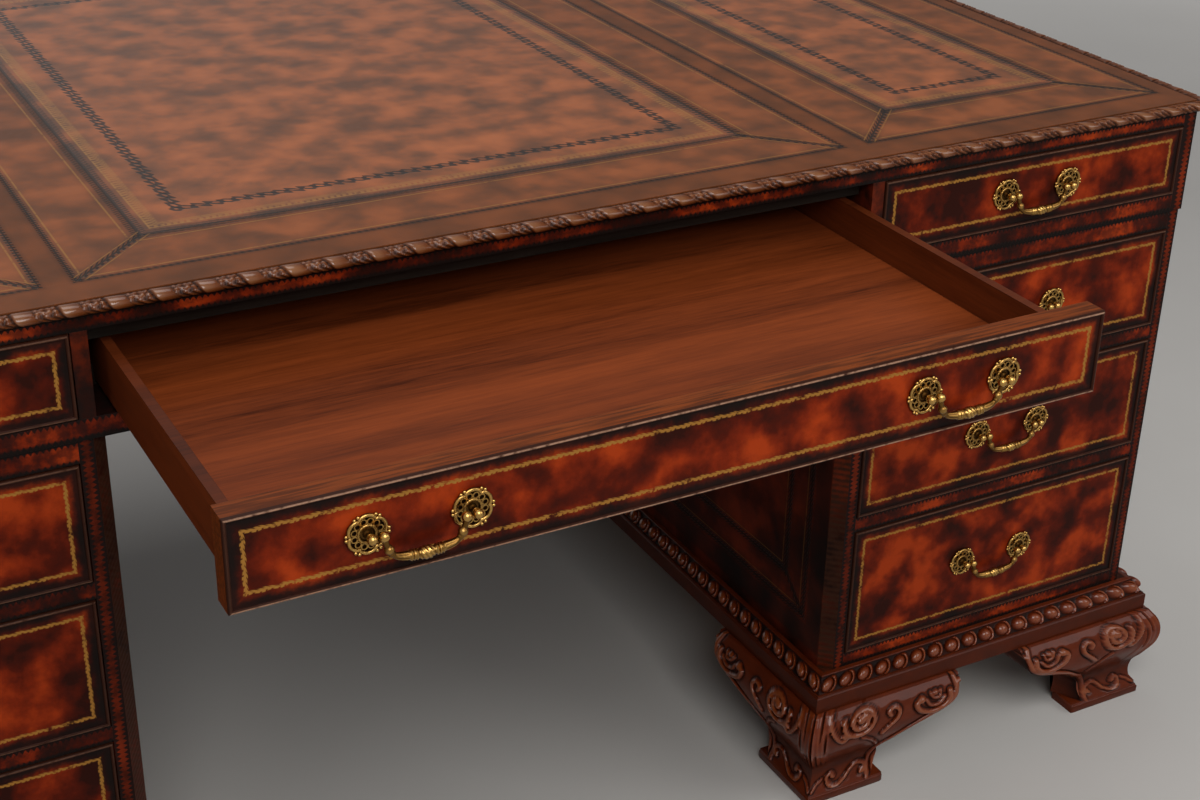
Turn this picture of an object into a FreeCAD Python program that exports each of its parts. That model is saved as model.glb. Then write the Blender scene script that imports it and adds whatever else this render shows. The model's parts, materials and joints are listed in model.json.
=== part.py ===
import FreeCAD, Part
import os
import Sketcher

# A leather-covered pedestal desk with carved bracket feet and brass bail pulls.
# X runs along the front to the right, Y from the front to the back, Z up.
# The origin is on the floor below the middle of the desk as it stands, with its centre drawer open.

# Driving dimensions in millimetres, one cell of the sheet each.
DIMENSIONS = {
    # the whole desk
    "desk_height": 780, "desk_depth": 1078, "frieze_width": 1680, "frieze_height": 114.5,
    "corner_cant": 13, "cut_overrun": 5,
    # the writing surface
    "top_thickness": 9.5, "leather_thickness": 1.6, "edge_width": 16, "edge_overhang": 8,
    "edge_underside": 11, "end_margin": 24, "front_margin": 39, "strip_width": 31,
    "centre_panel_width": 778, "border_width": 77,
    # the frieze case
    "fascia_height": 14.5, "frieze_rail_height": 20, "rail_depth": 60, "end_thickness": 30,
    "partition_thickness": 14.5, "centre_opening_width": 790, "back_thickness": 18,
    "dust_board_thickness": 6, "kicker_height": 19.5,
    # the pedestals
    "pedestal_width": 451.5, "pedestal_inset": 2, "pedestal_side_thickness": 26.5,
    "pedestal_board_thickness": 15, "top_rail_height": 22, "mid_rail_height": 17.5,
    "bottom_rail_show": 17.5,
    # the plinth moulding round the foot of each pedestal
    "band_height": 22, "band_reach": 20, "bead_height": 18.5, "bead_foot_reach": 16,
    "bead_top_reach": 4,
    # the bracket feet
    "foot_height": 124.5, "foot_wing_length": 179, "foot_leg_width": 60, "foot_pad_length": 80,
    "foot_pad_height": 12, "foot_pad_reach": 26, "foot_ankle_reach": 22, "foot_neck_reach": 16,
    "foot_bulge_reach": 37, "foot_top_reach": 24, "foot_back_reach": 12, "foot_block_width": 45,
    # the drawers and what they run on
    "drawer_depth": 560, "drawer_gap": 1, "drawer_open": 340, "drawer_front_thickness": 22,
    "cockbead_width": 3.5, "cockbead_proud": 2, "box_rise": 5, "box_drop": 20, "box_inset": 14,
    "drawer_side_thickness": 9, "drawer_back_thickness": 12, "drawer_bottom_thickness": 6,
    "bottom_rise": 10, "groove_depth": 4, "slide_gap": 0.3, "runner_width": 26,
    "runner_height": 16, "runner_spare_length": 40, "guide_height": 14, "stop_width": 40,
    "stop_depth": 16, "stop_height": 10,
    # the brass pulls
    "post_spacing": 83, "centre_pull_inset": 148, "rosette_radius": 16.5, "rosette_notch_radius": 14.3,
    "rosette_thickness": 2.5, "flange_radius": 7, "flange_thickness": 2, "stem_radius": 3,
    "ball_radius": 4.2, "ball_bevel": 2.2, "pivot_reach": 11,
    "pin_radius": 1.5, "pin_clearance": 0.05, "pin_end_gap": 0.5,
    "knuckle_gap": 0.5, "knuckle_length": 8, "bail_drop": 20, "bail_radius": 2.6,
    "bend_radius": 9, "swell_radius": 4.2, "swell_length": 22,
}

# Shares chosen by eye: how the drawers of a pedestal divide its clear height, how high up the foot
# its curves turn, and where along the wing its sawn underside bends.
UPPER_DRAWER_SHARE = 0.2845
MIDDLE_DRAWER_SHARE = 0.3289
NECK_HEIGHT_SHARE = 0.30
WAIST_HEIGHT_SHARE = 0.50
WAIST_REACH_SHARE = 0.70
BULGE_HEIGHT_SHARE = 0.78
CROOK_HEIGHT_SHARE = 0.46
CROOK_BEND_SHARE = 0.30
CROOK_LENGTH_SHARE = 0.42
LOBE_START_SHARES = (0.78, 0.58)
LOBE_BEND_SHARES = (0.94, 0.66)
LOBE_END_SHARE = 0.84
BEAD_BULGE_SHARES = (0.92, 0.60)
EDGE_BULGE_SHARE = 0.55
EDGE_CROWN_SHARE = 0.20
ROSETTE_LOBES = 8
FACETS = 6
PIN_FACETS = 8
SHANK_SIDES = 4
FLANGE_SIDES = 8
BEND_STEPS = 2
RIGHT_ANGLE = 90
FULL_TURN = 360


class Size:
    """A length, held both as millimetres and as the formula that ties it to the sheet."""

    def __init__(self, mm, formula):
        self.mm = float(mm)
        self.formula = formula

    def __add__(self, other):
        return Size(self.mm + other.mm, f"({self.formula} + {other.formula})")

    def __sub__(self, other):
        return Size(self.mm - other.mm, f"({self.formula} - {other.formula})")

    def __mul__(self, factor):
        return Size(self.mm * factor, f"({self.formula} * {factor})")

    def __truediv__(self, factor):
        return Size(self.mm / factor, f"({self.formula} / {factor})")

    def __neg__(self):
        return Size(-self.mm, f"(-1 * {self.formula})")


ZERO = Size(0, "0")
doc = FreeCAD.newDocument("PedestalDesk")
sheet = doc.addObject("Spreadsheet::Sheet", "Sheet")
for row, (alias, number) in enumerate(DIMENSIONS.items(), start=1):
    sheet.set(f"A{row}", alias)
    sheet.set(f"B{row}", str(number))
    sheet.setAlias(f"B{row}", alias)
doc.recompute()


def size(alias):
    return Size(sheet.get(alias), f"Sheet.{alias}")


# Levels and planes that many pieces share.
floor_to_feet_top = size("foot_height")
plinth_top = floor_to_feet_top + size("band_height") + size("bead_height")
frieze_top = size("desk_height") - size("top_thickness")
frieze_bottom = frieze_top - size("frieze_height")
opening_top = frieze_top - size("fascia_height")
opening_bottom = frieze_bottom + size("frieze_rail_height")
pull_front = size("pivot_reach") + size("ball_radius")
foot_overhang = size("foot_bulge_reach") - size("pedestal_inset")
front = (size("drawer_open") + pull_front - size("desk_depth") - foot_overhang) / 2
back = front + size("desk_depth")
half_width = size("frieze_width") / 2
frieze_inside = half_width - size("end_thickness")
half_centre_opening = size("centre_opening_width") / 2
side_opening_start = half_centre_opening + size("partition_thickness")
pedestal_front = front + size("pedestal_inset")
pedestal_back = back - size("pedestal_inset")
pedestal_outside = half_width - size("pedestal_inset")
pedestal_inside = pedestal_outside - size("pedestal_width")
pedestal_height = frieze_bottom - floor_to_feet_top
drawer_space_start = pedestal_inside + size("pedestal_side_thickness")
drawer_space_width = size("pedestal_width") - size("pedestal_side_thickness") * 2
lower_bottom = plinth_top + size("bottom_rail_show")
upper_top = frieze_bottom - size("top_rail_height")
clear_height = upper_top - lower_bottom - size("mid_rail_height") * 2
upper_bottom = upper_top - clear_height * UPPER_DRAWER_SHARE
middle_top = upper_bottom - size("mid_rail_height")
middle_bottom = middle_top - clear_height * MIDDLE_DRAWER_SHARE
lower_top = middle_bottom - size("mid_rail_height")

NODES = {}


def bind(thing, path, length):
    """Ties a property to the sheet."""
    thing.setExpression(path, length.formula)


def place(thing, x, y, z, turn=0, axis=(0, 0, 1)):
    """Turns a piece about an axis and puts its own origin at a point tied to the sheet."""
    thing.Placement = FreeCAD.Placement(
        FreeCAD.Vector(x.mm, y.mm, z.mm), FreeCAD.Rotation(FreeCAD.Vector(*axis), turn)
    )
    bind(thing, "Placement.Base.x", x)
    bind(thing, "Placement.Base.y", y)
    bind(thing, "Placement.Base.z", z)


def board(name, x, y, z, length, depth, height):
    """A plain board from its lowest corner."""
    box = doc.addObject("Part::Box", name)
    bind(box, "Length", length)
    bind(box, "Width", depth)
    bind(box, "Height", height)
    place(box, x, y, z)
    return box


def wedge_band(name, x, y, z, length, width, thickness, turn):
    """A flat band with mitred ends: its long edge runs along its own X from its corner."""
    band = doc.addObject("Part::Wedge", name)
    edges = {"Xmin": ZERO, "Ymin": ZERO, "Zmin": ZERO, "Z2min": ZERO, "X2min": width}
    edges |= {"Xmax": length, "Ymax": width, "Zmax": thickness, "Z2max": thickness}
    edges["X2max"] = length - width
    for edge, length_along in edges.items():
        bind(band, edge, length_along)
    place(band, x, y, z, turn)
    return band


def group(label, pieces):
    """Several separate solids handed over as one named sub-part."""
    node = doc.addObject("Part::Compound", label)
    node.Label = label
    node.Links = pieces
    NODES[label] = node
    return node


def single(label, piece):
    piece.Label = label
    NODES[label] = piece
    return piece


def mirrored(name, source, normal, x=ZERO, y=ZERO):
    """The mirror image of a piece in an upright plane through a point."""
    image = doc.addObject("Part::Mirroring", name)
    image.Source = source
    image.Normal = FreeCAD.Vector(*normal)
    bind(image, "Base.x", x)
    bind(image, "Base.y", y)
    return image


def left_copy(label):
    """The left-hand twin of a right-hand sub-part."""
    twin = label.replace("right_", "left_")
    return single(twin, mirrored(twin, NODES[label], (1, 0, 0)))


def start_body(name):
    return doc.addObject("PartDesign::Body", name)


def sketch_on(body, plane_role, lift=ZERO, shift=ZERO):
    """An empty sketch on one of the body's own planes, moved along its normal and its own Y."""
    plane = next(p for p in body.Origin.OriginFeatures if p.Role == plane_role)
    sketch = body.newObject("Sketcher::SketchObject", f"{body.Name}_sketch")
    sketch.AttachmentSupport = [(plane, "")]
    sketch.MapMode = "FlatFace"
    bind(sketch, "AttachmentOffset.Base.y", shift)
    bind(sketch, "AttachmentOffset.Base.z", lift)
    return sketch


def pin_point(sketch, geometry, vertex, point):
    """Holds one point of a sketch at two lengths from the sketch's origin."""
    for kind, length in zip(("DistanceX", "DistanceY"), point):
        index = sketch.addConstraint(
            Sketcher.Constraint(kind, -1, 1, geometry, vertex, length.mm)
        )
        bind(sketch, f"Constraints[{index}]", length)


def flat(point):
    return FreeCAD.Vector(point[0].mm, point[1].mm, 0)


def arc_between(sketch, start, over, end):
    """An arc through three points, with which of its ends is the start and which the end."""
    turn = (flat(over) - flat(start)).cross(flat(end) - flat(over)).z
    first, last = (start, end) if turn > 0 else (end, start)
    arc = sketch.addGeometry(Part.Arc(flat(first), flat(over), flat(last)), False)
    middle = sketch.addGeometry(Part.Point(flat(over)), True)
    pin_point(sketch, middle, 1, over)
    sketch.addConstraint(Sketcher.Constraint("PointOnObject", middle, 1, arc))
    return (arc, 1, 2) if turn > 0 else (arc, 2, 1)


def chain_of(sketch, start, steps):
    """Draws lines and arcs end to end: a step is the next corner, or a point on an arc and its end."""
    chain = []
    here = start
    for step in steps:
        if isinstance(step[0], tuple):
            over, there = step
            chain.append(arc_between(sketch, here, over, there))
        else:
            there = step
            chain.append((sketch.addGeometry(Part.LineSegment(flat(here), flat(there)), False), 1, 2))
        pin_point(sketch, chain[-1][0], chain[-1][1], here)
        here = there
    for before, after in zip(chain, chain[1:]):
        sketch.addConstraint(Sketcher.Constraint("Coincident", before[0], before[2], after[0], after[1]))
    return chain


def closed_outline(sketch, start, steps):
    chain = chain_of(sketch, start, list(steps) + [start])
    last, first = chain[-1], chain[0]
    sketch.addConstraint(Sketcher.Constraint("Coincident", last[0], last[2], first[0], first[1]))


def open_path(sketch, start, steps):
    chain = chain_of(sketch, start, steps)
    end = steps[-1][1] if isinstance(steps[-1][0], tuple) else steps[-1]
    pin_point(sketch, chain[-1][0], chain[-1][2], end)


def round_outline(sketch, centre, radius):
    circle = Part.Circle(flat(centre), FreeCAD.Vector(0, 0, 1), radius.mm)
    ring = sketch.addGeometry(circle, False)
    index = sketch.addConstraint(Sketcher.Constraint("Radius", ring, radius.mm))
    bind(sketch, f"Constraints[{index}]", radius)
    pin_point(sketch, ring, 3, centre)


def rectangle(sketch, x, y, length, depth):
    closed_outline(sketch, (x, y), [(x + length, y), (x + length, y + depth), (x, y + depth)])


def pad(body, sketch, length, reverse=False):
    feature = body.newObject("PartDesign::Pad", f"{body.Name}_pad")
    feature.Profile = sketch
    feature.Reversed = reverse
    bind(feature, "Length", length)
    return feature


def cut(body, sketch, length, reverse=False, both_ways=False):
    """A pocket, which must take something away."""
    doc.recompute()
    before = body.Shape.Volume
    feature = body.newObject("PartDesign::Pocket", f"{body.Name}_cut")
    feature.Profile = sketch
    feature.Reversed = reverse
    if both_ways:
        feature.SideType = "Symmetric"
    bind(feature, "Length", length)
    doc.recompute()
    if body.Shape.Volume >= before:
        raise RuntimeError(f"{body.Name}: a cut takes nothing away")
    return feature


def mitred_length(name, profile_start, profile_steps, run, inward, outward):
    """A moulding that runs along its own X, moulded on -Y, with both ends cut at half a right angle.

    The run is measured on the line where the moulding meets what it surrounds.
    """
    body = start_body(name)
    spare = outward + size("cut_overrun")
    profile = sketch_on(body, "YZ_Plane", lift=-spare)
    closed_outline(profile, profile_start, profile_steps)
    pad(body, profile, run + spare * 2)
    ends = sketch_on(body, "XY_Plane")
    deep = inward + size("cut_overrun")
    closed_outline(ends, (deep, deep), [(-spare, deep), (-spare, -spare)])
    closed_outline(ends, (run - deep, deep), [(run + spare, -spare), (run + spare, deep)])
    cut(body, ends, size("desk_height") * 2, both_ways=True)
    return body


def mitred_frame(name, profile_start, profile_steps, corner, width, depth, level, inward, outward):
    """Four mitred lengths round a rectangle, from its front left corner."""
    x, y = corner
    corners = [(x, y, width), (x + width, y, depth), (x + width, y + depth, width), (x, y + depth, depth)]
    lengths = []
    for turn, (corner_x, corner_y, run) in enumerate(corners):
        piece = mitred_length(f"{name}_{turn}", profile_start, profile_steps, run, inward, outward)
        place(piece, corner_x, corner_y, level, turn * RIGHT_ANGLE)
        lengths.append(piece)
    return lengths


def leather_panel(name, x, y, length, depth):
    """A field of leather with four mitred border bands round it, laid flush with the top."""
    level = size("desk_height") - size("leather_thickness")
    width = size("border_width")
    thickness = size("leather_thickness")
    corners = [(x, y, length), (x + length, y, depth),
               (x + length, y + depth, length), (x, y + depth, depth)]
    bands = [
        wedge_band(f"{name}_band_{turn}", cx, cy, level, run, width, thickness, turn * RIGHT_ANGLE)
        for turn, (cx, cy, run) in enumerate(corners)
    ]
    field = board(f"{name}_field", x + width, y + width, level,
                  length - width * 2, depth - width * 2, thickness)
    return bands, field


def make_top():
    """The board, its leather and the nosing that frames it."""
    inset = size("edge_width") - size("edge_overhang")
    x = inset - half_width
    y = front + inset
    length = size("frieze_width") - inset * 2
    depth = size("desk_depth") - inset * 2
    body = start_body("top_board")
    plate = sketch_on(body, "XY_Plane", lift=frieze_top)
    rectangle(plate, x, y, length, depth)
    pad(body, plate, size("top_thickness") - size("leather_thickness"))
    core = sketch_on(body, "XY_Plane", lift=opening_top)
    rail_back = front + size("rail_depth")
    core_depth = back - size("back_thickness") - rail_back
    rectangle(core, -frieze_inside, rail_back, frieze_inside * 2, core_depth)
    pad(body, core, size("fascia_height"))
    single("top_board", body)

    end_margin = size("end_margin")
    front_margin = size("front_margin")
    strip = size("strip_width")
    centre_width = size("centre_panel_width")
    side_width = (length - end_margin * 2 - strip * 2 - centre_width) / 2
    panel_y = y + front_margin
    panel_depth = depth - front_margin * 2
    bands, fields = [], []
    panel_x = x + end_margin
    for name, width in (("left", side_width), ("centre", centre_width), ("right", side_width)):
        panel_bands, field = leather_panel(f"{name}_leather", panel_x, panel_y, width, panel_depth)
        bands += panel_bands
        fields.append(field)
        panel_x = panel_x + width + strip
    group("top_leather_borders", bands)
    group("top_leather_fields", fields)

    level = size("desk_height") - size("leather_thickness")
    thickness = size("leather_thickness")
    end_strips = [(x, end_margin), (x + length - end_margin, end_margin)]
    cross_x = x + end_margin + side_width
    end_strips += [(cross_x, strip), (cross_x + strip + centre_width, strip)]
    margins = [
        board(f"margin_across_{index}", strip_x, panel_y, level, width, panel_depth, thickness)
        for index, (strip_x, width) in enumerate(end_strips)
    ]
    margins.append(board("margin_front", x, y, level, length, front_margin, thickness))
    margins.append(board("margin_back", x, panel_y + panel_depth, level, length, front_margin, thickness))
    group("top_leather_margins", margins)

    height = size("top_thickness")
    reach = size("edge_overhang")
    foot = size("edge_underside") - inset
    crown = reach * EDGE_CROWN_SHARE
    profile = [(-foot, ZERO), ((-reach, height * EDGE_BULGE_SHARE), (-crown, height)), (inset, height)]
    nosing = mitred_frame("nosing", (inset, ZERO), profile, (-half_width, front),
                          size("frieze_width"), size("desk_depth"), frieze_top, inset, reach)
    group("top_edge_moulding", nosing)


def make_frieze():
    """The shallow case under the top: ends, back, front rails, partitions and inner boards."""
    height = size("frieze_height")
    cant = size("corner_cant")
    body = start_body("frieze_end")
    plan = sketch_on(body, "XY_Plane", lift=frieze_bottom)
    corners = [(half_width - cant, front), (half_width, front + cant), (half_width, back - cant),
               (half_width - cant, back), (frieze_inside, back)]
    closed_outline(plan, (frieze_inside, front), corners)
    pad(body, plan, height)
    group("frieze_end_panels", [body, mirrored("frieze_other_end", body, (1, 0, 0))])

    depth = size("rail_depth")
    inner_back = back - size("back_thickness")
    single("frieze_back_panel", board("frieze_back_panel", -frieze_inside, inner_back, frieze_bottom,
                                      frieze_inside * 2, size("back_thickness"), height))
    rails = [board("frieze_lower_rail", -frieze_inside, front, frieze_bottom,
                   frieze_inside * 2, depth, size("frieze_rail_height")),
             board("frieze_fascia", -frieze_inside, front, opening_top,
                   frieze_inside * 2, depth, size("fascia_height"))]
    group("frieze_front_rails", rails)

    body = start_body("frieze_partition")
    side_view = sketch_on(body, "YZ_Plane", lift=half_centre_opening)
    rail_back = front + depth
    dust_top = frieze_bottom + size("dust_board_thickness")
    corners = [(rail_back, opening_bottom), (rail_back, dust_top), (inner_back, dust_top),
               (inner_back, opening_top), (front, opening_top)]
    closed_outline(side_view, (front, opening_bottom), corners)
    pad(body, side_view, size("partition_thickness"))
    group("frieze_partitions", [body, mirrored("frieze_other_partition", body, (1, 0, 0))])

    dust = board("frieze_dust_board", -frieze_inside, rail_back, frieze_bottom, frieze_inside * 2,
                 inner_back - rail_back, size("dust_board_thickness"))
    side_width = frieze_inside - side_opening_start
    kicker_y = front + size("drawer_front_thickness") + size("drawer_gap")
    kickers = [board(f"frieze_{name}_kicker", x, kicker_y, opening_top - size("kicker_height"), width,
                     rail_back - kicker_y, size("kicker_height"))
               for name, x, width in (("centre", -half_centre_opening, size("centre_opening_width")),
                                      ("right", side_opening_start, side_width))]
    kickers.append(mirrored("frieze_left_kicker", kickers[-1], (1, 0, 0)))
    group("frieze_top_rails", kickers)

    inner = [dust]
    inner += runners("frieze_centre", -half_centre_opening, size("centre_opening_width"),
                     opening_bottom, front, dust_top)
    right = runners("frieze_right", side_opening_start, side_width, opening_bottom, front, dust_top)
    inner += right
    inner += [mirrored(f"{piece.Name}_twin", piece, (1, 0, 0)) for piece in right]
    group("frieze_runners", inner)


def runners(name, x, width, bottom, face, underside):
    """Two strips that a drawer's sides run on, the guides beside them, and the stop for its front."""
    top = bottom + size("drawer_gap") + size("box_rise") - size("slide_gap")
    start = face + size("rail_depth")
    length = size("drawer_depth") + size("runner_spare_length") - size("rail_depth")
    strip = size("runner_width")
    guide = size("drawer_gap") + size("box_inset") - size("slide_gap")
    stop_x = x + (width - size("stop_width")) / 2
    return [
        board(f"{name}_runner_a", x, start, underside, strip, length, top - underside),
        board(f"{name}_runner_b", x + width - strip, start, underside, strip, length, top - underside),
        board(f"{name}_guide_a", x, start, top, guide, length, size("guide_height")),
        board(f"{name}_guide_b", x + width - guide, start, top, guide, length, size("guide_height")),
        board(f"{name}_stop", stop_x, face + size("drawer_front_thickness"), bottom,
              size("stop_width"), size("stop_depth"), size("stop_height")),
    ]


def pedestal_side(name, x, outer_sign):
    """One side of a pedestal: square at the plinth, with canted front and back corners above it."""
    thickness = size("pedestal_side_thickness")
    cant = size("corner_cant")
    body = start_body(name)
    depth = pedestal_back - pedestal_front
    square = sketch_on(body, "XY_Plane", lift=floor_to_feet_top)
    rectangle(square, x, pedestal_front, thickness, depth)
    pad(body, square, plinth_top - floor_to_feet_top)
    canted = sketch_on(body, "XY_Plane", lift=plinth_top)
    if outer_sign > 0:
        plain, outer = x, x + thickness
        shoulder = outer - cant
    else:
        plain, outer = x + thickness, x
        shoulder = outer + cant
    corners = [(shoulder, pedestal_front), (outer, pedestal_front + cant),
               (outer, pedestal_back - cant), (shoulder, pedestal_back), (plain, pedestal_back)]
    closed_outline(canted, (plain, pedestal_front), corners)
    pad(body, canted, frieze_bottom - plinth_top)
    return body


def make_pedestal():
    """The right-hand pedestal: sides, back, front rails, and the frame inside that carries the drawers."""
    thickness = size("pedestal_side_thickness")
    group("right_pedestal_sides", [pedestal_side("inner_side", pedestal_inside, -1),
                                   pedestal_side("outer_side", pedestal_outside - thickness, 1)])
    inner_back = pedestal_back - size("back_thickness")
    single("right_pedestal_back", board("right_pedestal_back", drawer_space_start, inner_back,
                                        floor_to_feet_top, drawer_space_width, size("back_thickness"),
                                        pedestal_height))
    rail_height = size("mid_rail_height")
    levels = [("top", upper_top, size("top_rail_height")),
              ("upper", middle_top, rail_height),
              ("middle", lower_top, rail_height),
              ("bottom", floor_to_feet_top, lower_bottom - floor_to_feet_top)]
    rails = [board(f"pedestal_{name}_rail", drawer_space_start, pedestal_front, level,
                   drawer_space_width, size("rail_depth"), height) for name, level, height in levels]
    group("right_pedestal_front_rails", rails)

    board_start = pedestal_front + size("rail_depth")
    board_depth = inner_back - board_start
    board_height = size("pedestal_board_thickness")
    inner = [board("pedestal_floor", drawer_space_start, board_start, floor_to_feet_top,
                   drawer_space_width, board_depth, board_height),
             board("pedestal_ceiling", drawer_space_start, board_start, frieze_bottom - board_height,
                   drawer_space_width, board_depth, board_height)]
    for name, bottom in (("upper", upper_bottom), ("middle", middle_bottom), ("lower", lower_bottom)):
        inner += runners(f"pedestal_{name}", drawer_space_start, drawer_space_width, bottom,
                         pedestal_front, bottom - size("runner_height"))
    group("right_pedestal_runners", inner)


def make_plinth():
    """The mitred moulding at the foot of the pedestal: a flat band below a bead."""
    band = size("band_height")
    top = band + size("bead_height")
    bulge_reach_share, bulge_height_share = BEAD_BULGE_SHARES
    bulge = (-(size("bead_foot_reach") * bulge_reach_share), band + size("bead_height") * bulge_height_share)
    profile = [(-size("band_reach"), ZERO), (-size("band_reach"), band), (-size("bead_foot_reach"), band),
               (bulge, (-size("bead_top_reach"), top)), (ZERO, top)]
    lengths = mitred_frame("plinth", (ZERO, ZERO), profile, (pedestal_inside, pedestal_front),
                           size("pedestal_width"), pedestal_back - pedestal_front,
                           floor_to_feet_top, ZERO, size("band_reach"))
    group("right_pedestal_plinth", lengths)


def foot_bracket():
    """One wing of an ogee bracket foot: moulded along its length, sawn to its scroll, then mitred."""
    height = floor_to_feet_top
    pad_height = size("foot_pad_height")
    wing = size("foot_wing_length")
    bulge = size("foot_bulge_reach")
    over = size("cut_overrun")
    body = start_body("foot_bracket")
    profile = sketch_on(body, "YZ_Plane", lift=-(bulge + over))
    waist = (-(bulge * WAIST_REACH_SHARE), height * WAIST_HEIGHT_SHARE)
    hollow = (-size("foot_neck_reach"), height * NECK_HEIGHT_SHARE)
    swell = (-bulge, height * BULGE_HEIGHT_SHARE)
    steps = [(-size("foot_pad_reach"), ZERO), (-size("foot_pad_reach"), pad_height),
             (-size("foot_ankle_reach"), pad_height), (hollow, waist),
             (swell, (-size("foot_top_reach"), height)), (size("foot_back_reach"), height)]
    closed_outline(profile, (size("foot_back_reach"), ZERO), steps)
    pad(body, profile, wing + bulge + over)

    scroll = sketch_on(body, "XZ_Plane")
    leg = size("foot_leg_width")
    crook = (leg + (wing - leg) * CROOK_BEND_SHARE * CROOK_LENGTH_SHARE, height * CROOK_HEIGHT_SHARE)
    crook_bend = (leg, height * CROOK_BEND_SHARE)
    lobe_start = (wing * LOBE_START_SHARES[0], height * LOBE_START_SHARES[1])
    lobe_bend = (wing * LOBE_BEND_SHARES[0], height * LOBE_BEND_SHARES[1])
    lobe_end = (wing, height * LOBE_END_SHARE)
    steps = [(size("foot_pad_length"), pad_height), (leg, pad_height), (crook_bend, crook),
             lobe_start, (lobe_bend, lobe_end), (wing + over, height * LOBE_END_SHARE), (wing + over, -over)]
    closed_outline(scroll, (size("foot_pad_length"), -over), steps)
    cut(body, scroll, (bulge + size("foot_back_reach")) * 4, both_ways=True)

    mitre = sketch_on(body, "XY_Plane")
    deep = size("foot_back_reach") + over
    far = bulge + over * 2
    closed_outline(mitre, (deep, deep), [(-far, deep), (-far, -far)])
    cut(body, mitre, height * 4, both_ways=True)
    return body


def make_feet():
    """Four bracket feet, each of two mitred wings and a block glued into the corner behind them."""
    bracket = foot_bracket()
    place(bracket, pedestal_inside, pedestal_front, ZERO)
    twin = mirrored("foot_bracket_twin", bracket, (1, -1, 0), pedestal_inside, pedestal_front)
    block_width = size("foot_block_width")
    back_reach = size("foot_back_reach")
    block_bottom = size("foot_pad_height")
    block = board("foot_block", pedestal_inside + back_reach, pedestal_front + back_reach, block_bottom,
                  block_width, block_width, floor_to_feet_top - block_bottom)
    pieces = [bracket, twin, block]
    middle_x = (pedestal_inside + pedestal_outside) / 2
    middle_y = (pedestal_front + pedestal_back) / 2
    pieces += [mirrored(f"{piece.Name}_outer", piece, (1, 0, 0), x=middle_x) for piece in pieces]
    pieces += [mirrored(f"{piece.Name}_rear", piece, (0, 1, 0), y=middle_y) for piece in list(pieces)]
    group("right_pedestal_feet", pieces)


def drawer(name, x, bottom, width, height, face, open_by, pull_places):
    """A drawer in an opening: a leather-faced front with a cockbead, a grooved box, and brass pulls."""
    gap = size("drawer_gap")
    front_x = x + gap
    front_z = bottom + gap
    front_width = width - gap * 2
    front_height = height - gap * 2
    face_y = face - open_by
    thickness = size("drawer_front_thickness")
    body = start_body(f"{name}_front")
    plate = sketch_on(body, "XZ_Plane", lift=-face_y)
    rectangle(plate, front_x, front_z, front_width, front_height)
    pad(body, plate, thickness, reverse=True)
    bead = size("cockbead_width")
    rim = sketch_on(body, "XZ_Plane", lift=-face_y)
    rectangle(rim, front_x, front_z, front_width, front_height)
    rectangle(rim, front_x + bead, front_z + bead, front_width - bead * 2, front_height - bead * 2)
    pad(body, rim, size("cockbead_proud"))
    single(f"{name}_front", body)

    inset = size("box_inset")
    side = size("drawer_side_thickness")
    box_y = face_y + thickness
    box_length = size("drawer_depth") - thickness
    box_z = front_z + size("box_rise")
    box_height = front_height - size("box_rise") - size("box_drop")
    bottom_z = box_z + size("bottom_rise")
    groove = size("groove_depth")
    panel = size("drawer_bottom_thickness")
    left_x = front_x + inset
    right_x = front_x + front_width - inset
    body = start_body(f"{name}_side")
    section = sketch_on(body, "XZ_Plane", lift=-box_y)
    inner_x = left_x + side
    corners = [(inner_x, box_z), (inner_x, bottom_z), (inner_x - groove, bottom_z),
               (inner_x - groove, bottom_z + panel), (inner_x, bottom_z + panel),
               (inner_x, box_z + box_height), (left_x, box_z + box_height)]
    closed_outline(section, (left_x, box_z), corners)
    pad(body, section, box_length, reverse=True)
    other = mirrored(f"{name}_other_side", body, (1, 0, 0), x=(left_x + right_x) / 2)
    floor_width = right_x - left_x - side * 2 + groove * 2
    floor = board(f"{name}_bottom", inner_x - groove, box_y, bottom_z, floor_width, box_length, panel)
    back_thickness = size("drawer_back_thickness")
    back_z = bottom_z + panel
    back_board = board(f"{name}_back", inner_x, box_y + box_length - back_thickness, back_z,
                       floor_width - groove * 2, back_thickness, box_z + box_height - back_z)
    group(f"{name}_box", [body, other, floor, back_board])

    centre_x = x + width / 2
    centre_z = bottom + height / 2
    plates = []
    for index, offset in enumerate(pull_places):
        plates += pull_mounts(f"{name}_{index}", centre_x + offset, face_y, centre_z)
    group(f"{name}_pulls", plates)
    labels = {1: [f"{name}_bail"], 2: [f"{name}_left_bail", f"{name}_right_bail"]}[len(pull_places)]
    for label, offset in zip(labels, pull_places):
        hung = linked(f"{label}_casting", bail_pattern, centre_x + offset,
                      face_y - size("pivot_reach"), centre_z)
        group(label, [hung])


def linked(name, pattern, x, y, z, turn=0):
    """A copy of a cast pattern, set in place."""
    copy = doc.addObject("App::Link", name)
    copy.LinkedObject = pattern
    place(copy, x, y, z, turn, axis=(0, 1, 0))
    return copy


def pull_mounts(name, x, face_y, z):
    """The two rosettes of a pull, with the posts that stand on them."""
    half = size("post_spacing") / 2
    pieces = []
    for end, (offset, turn) in enumerate(((-half, 0), (half, RIGHT_ANGLE * 2))):
        pieces.append(linked(f"{name}_rosette_{end}", rosette_pattern, x + offset, face_y, z))
        pieces.append(linked(f"{name}_post_{end}", post_pattern, x + offset,
                             face_y - size("rosette_thickness"), z, turn))
    return pieces


def spoke(step, steps):
    """The direction of one of several even steps round a circle, as two shares of its radius."""
    ray = FreeCAD.Rotation(FreeCAD.Vector(0, 0, 1), FULL_TURN * step / steps)
    direction = ray.multVec(FreeCAD.Vector(1, 0, 0))
    return direction.x, direction.y


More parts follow.
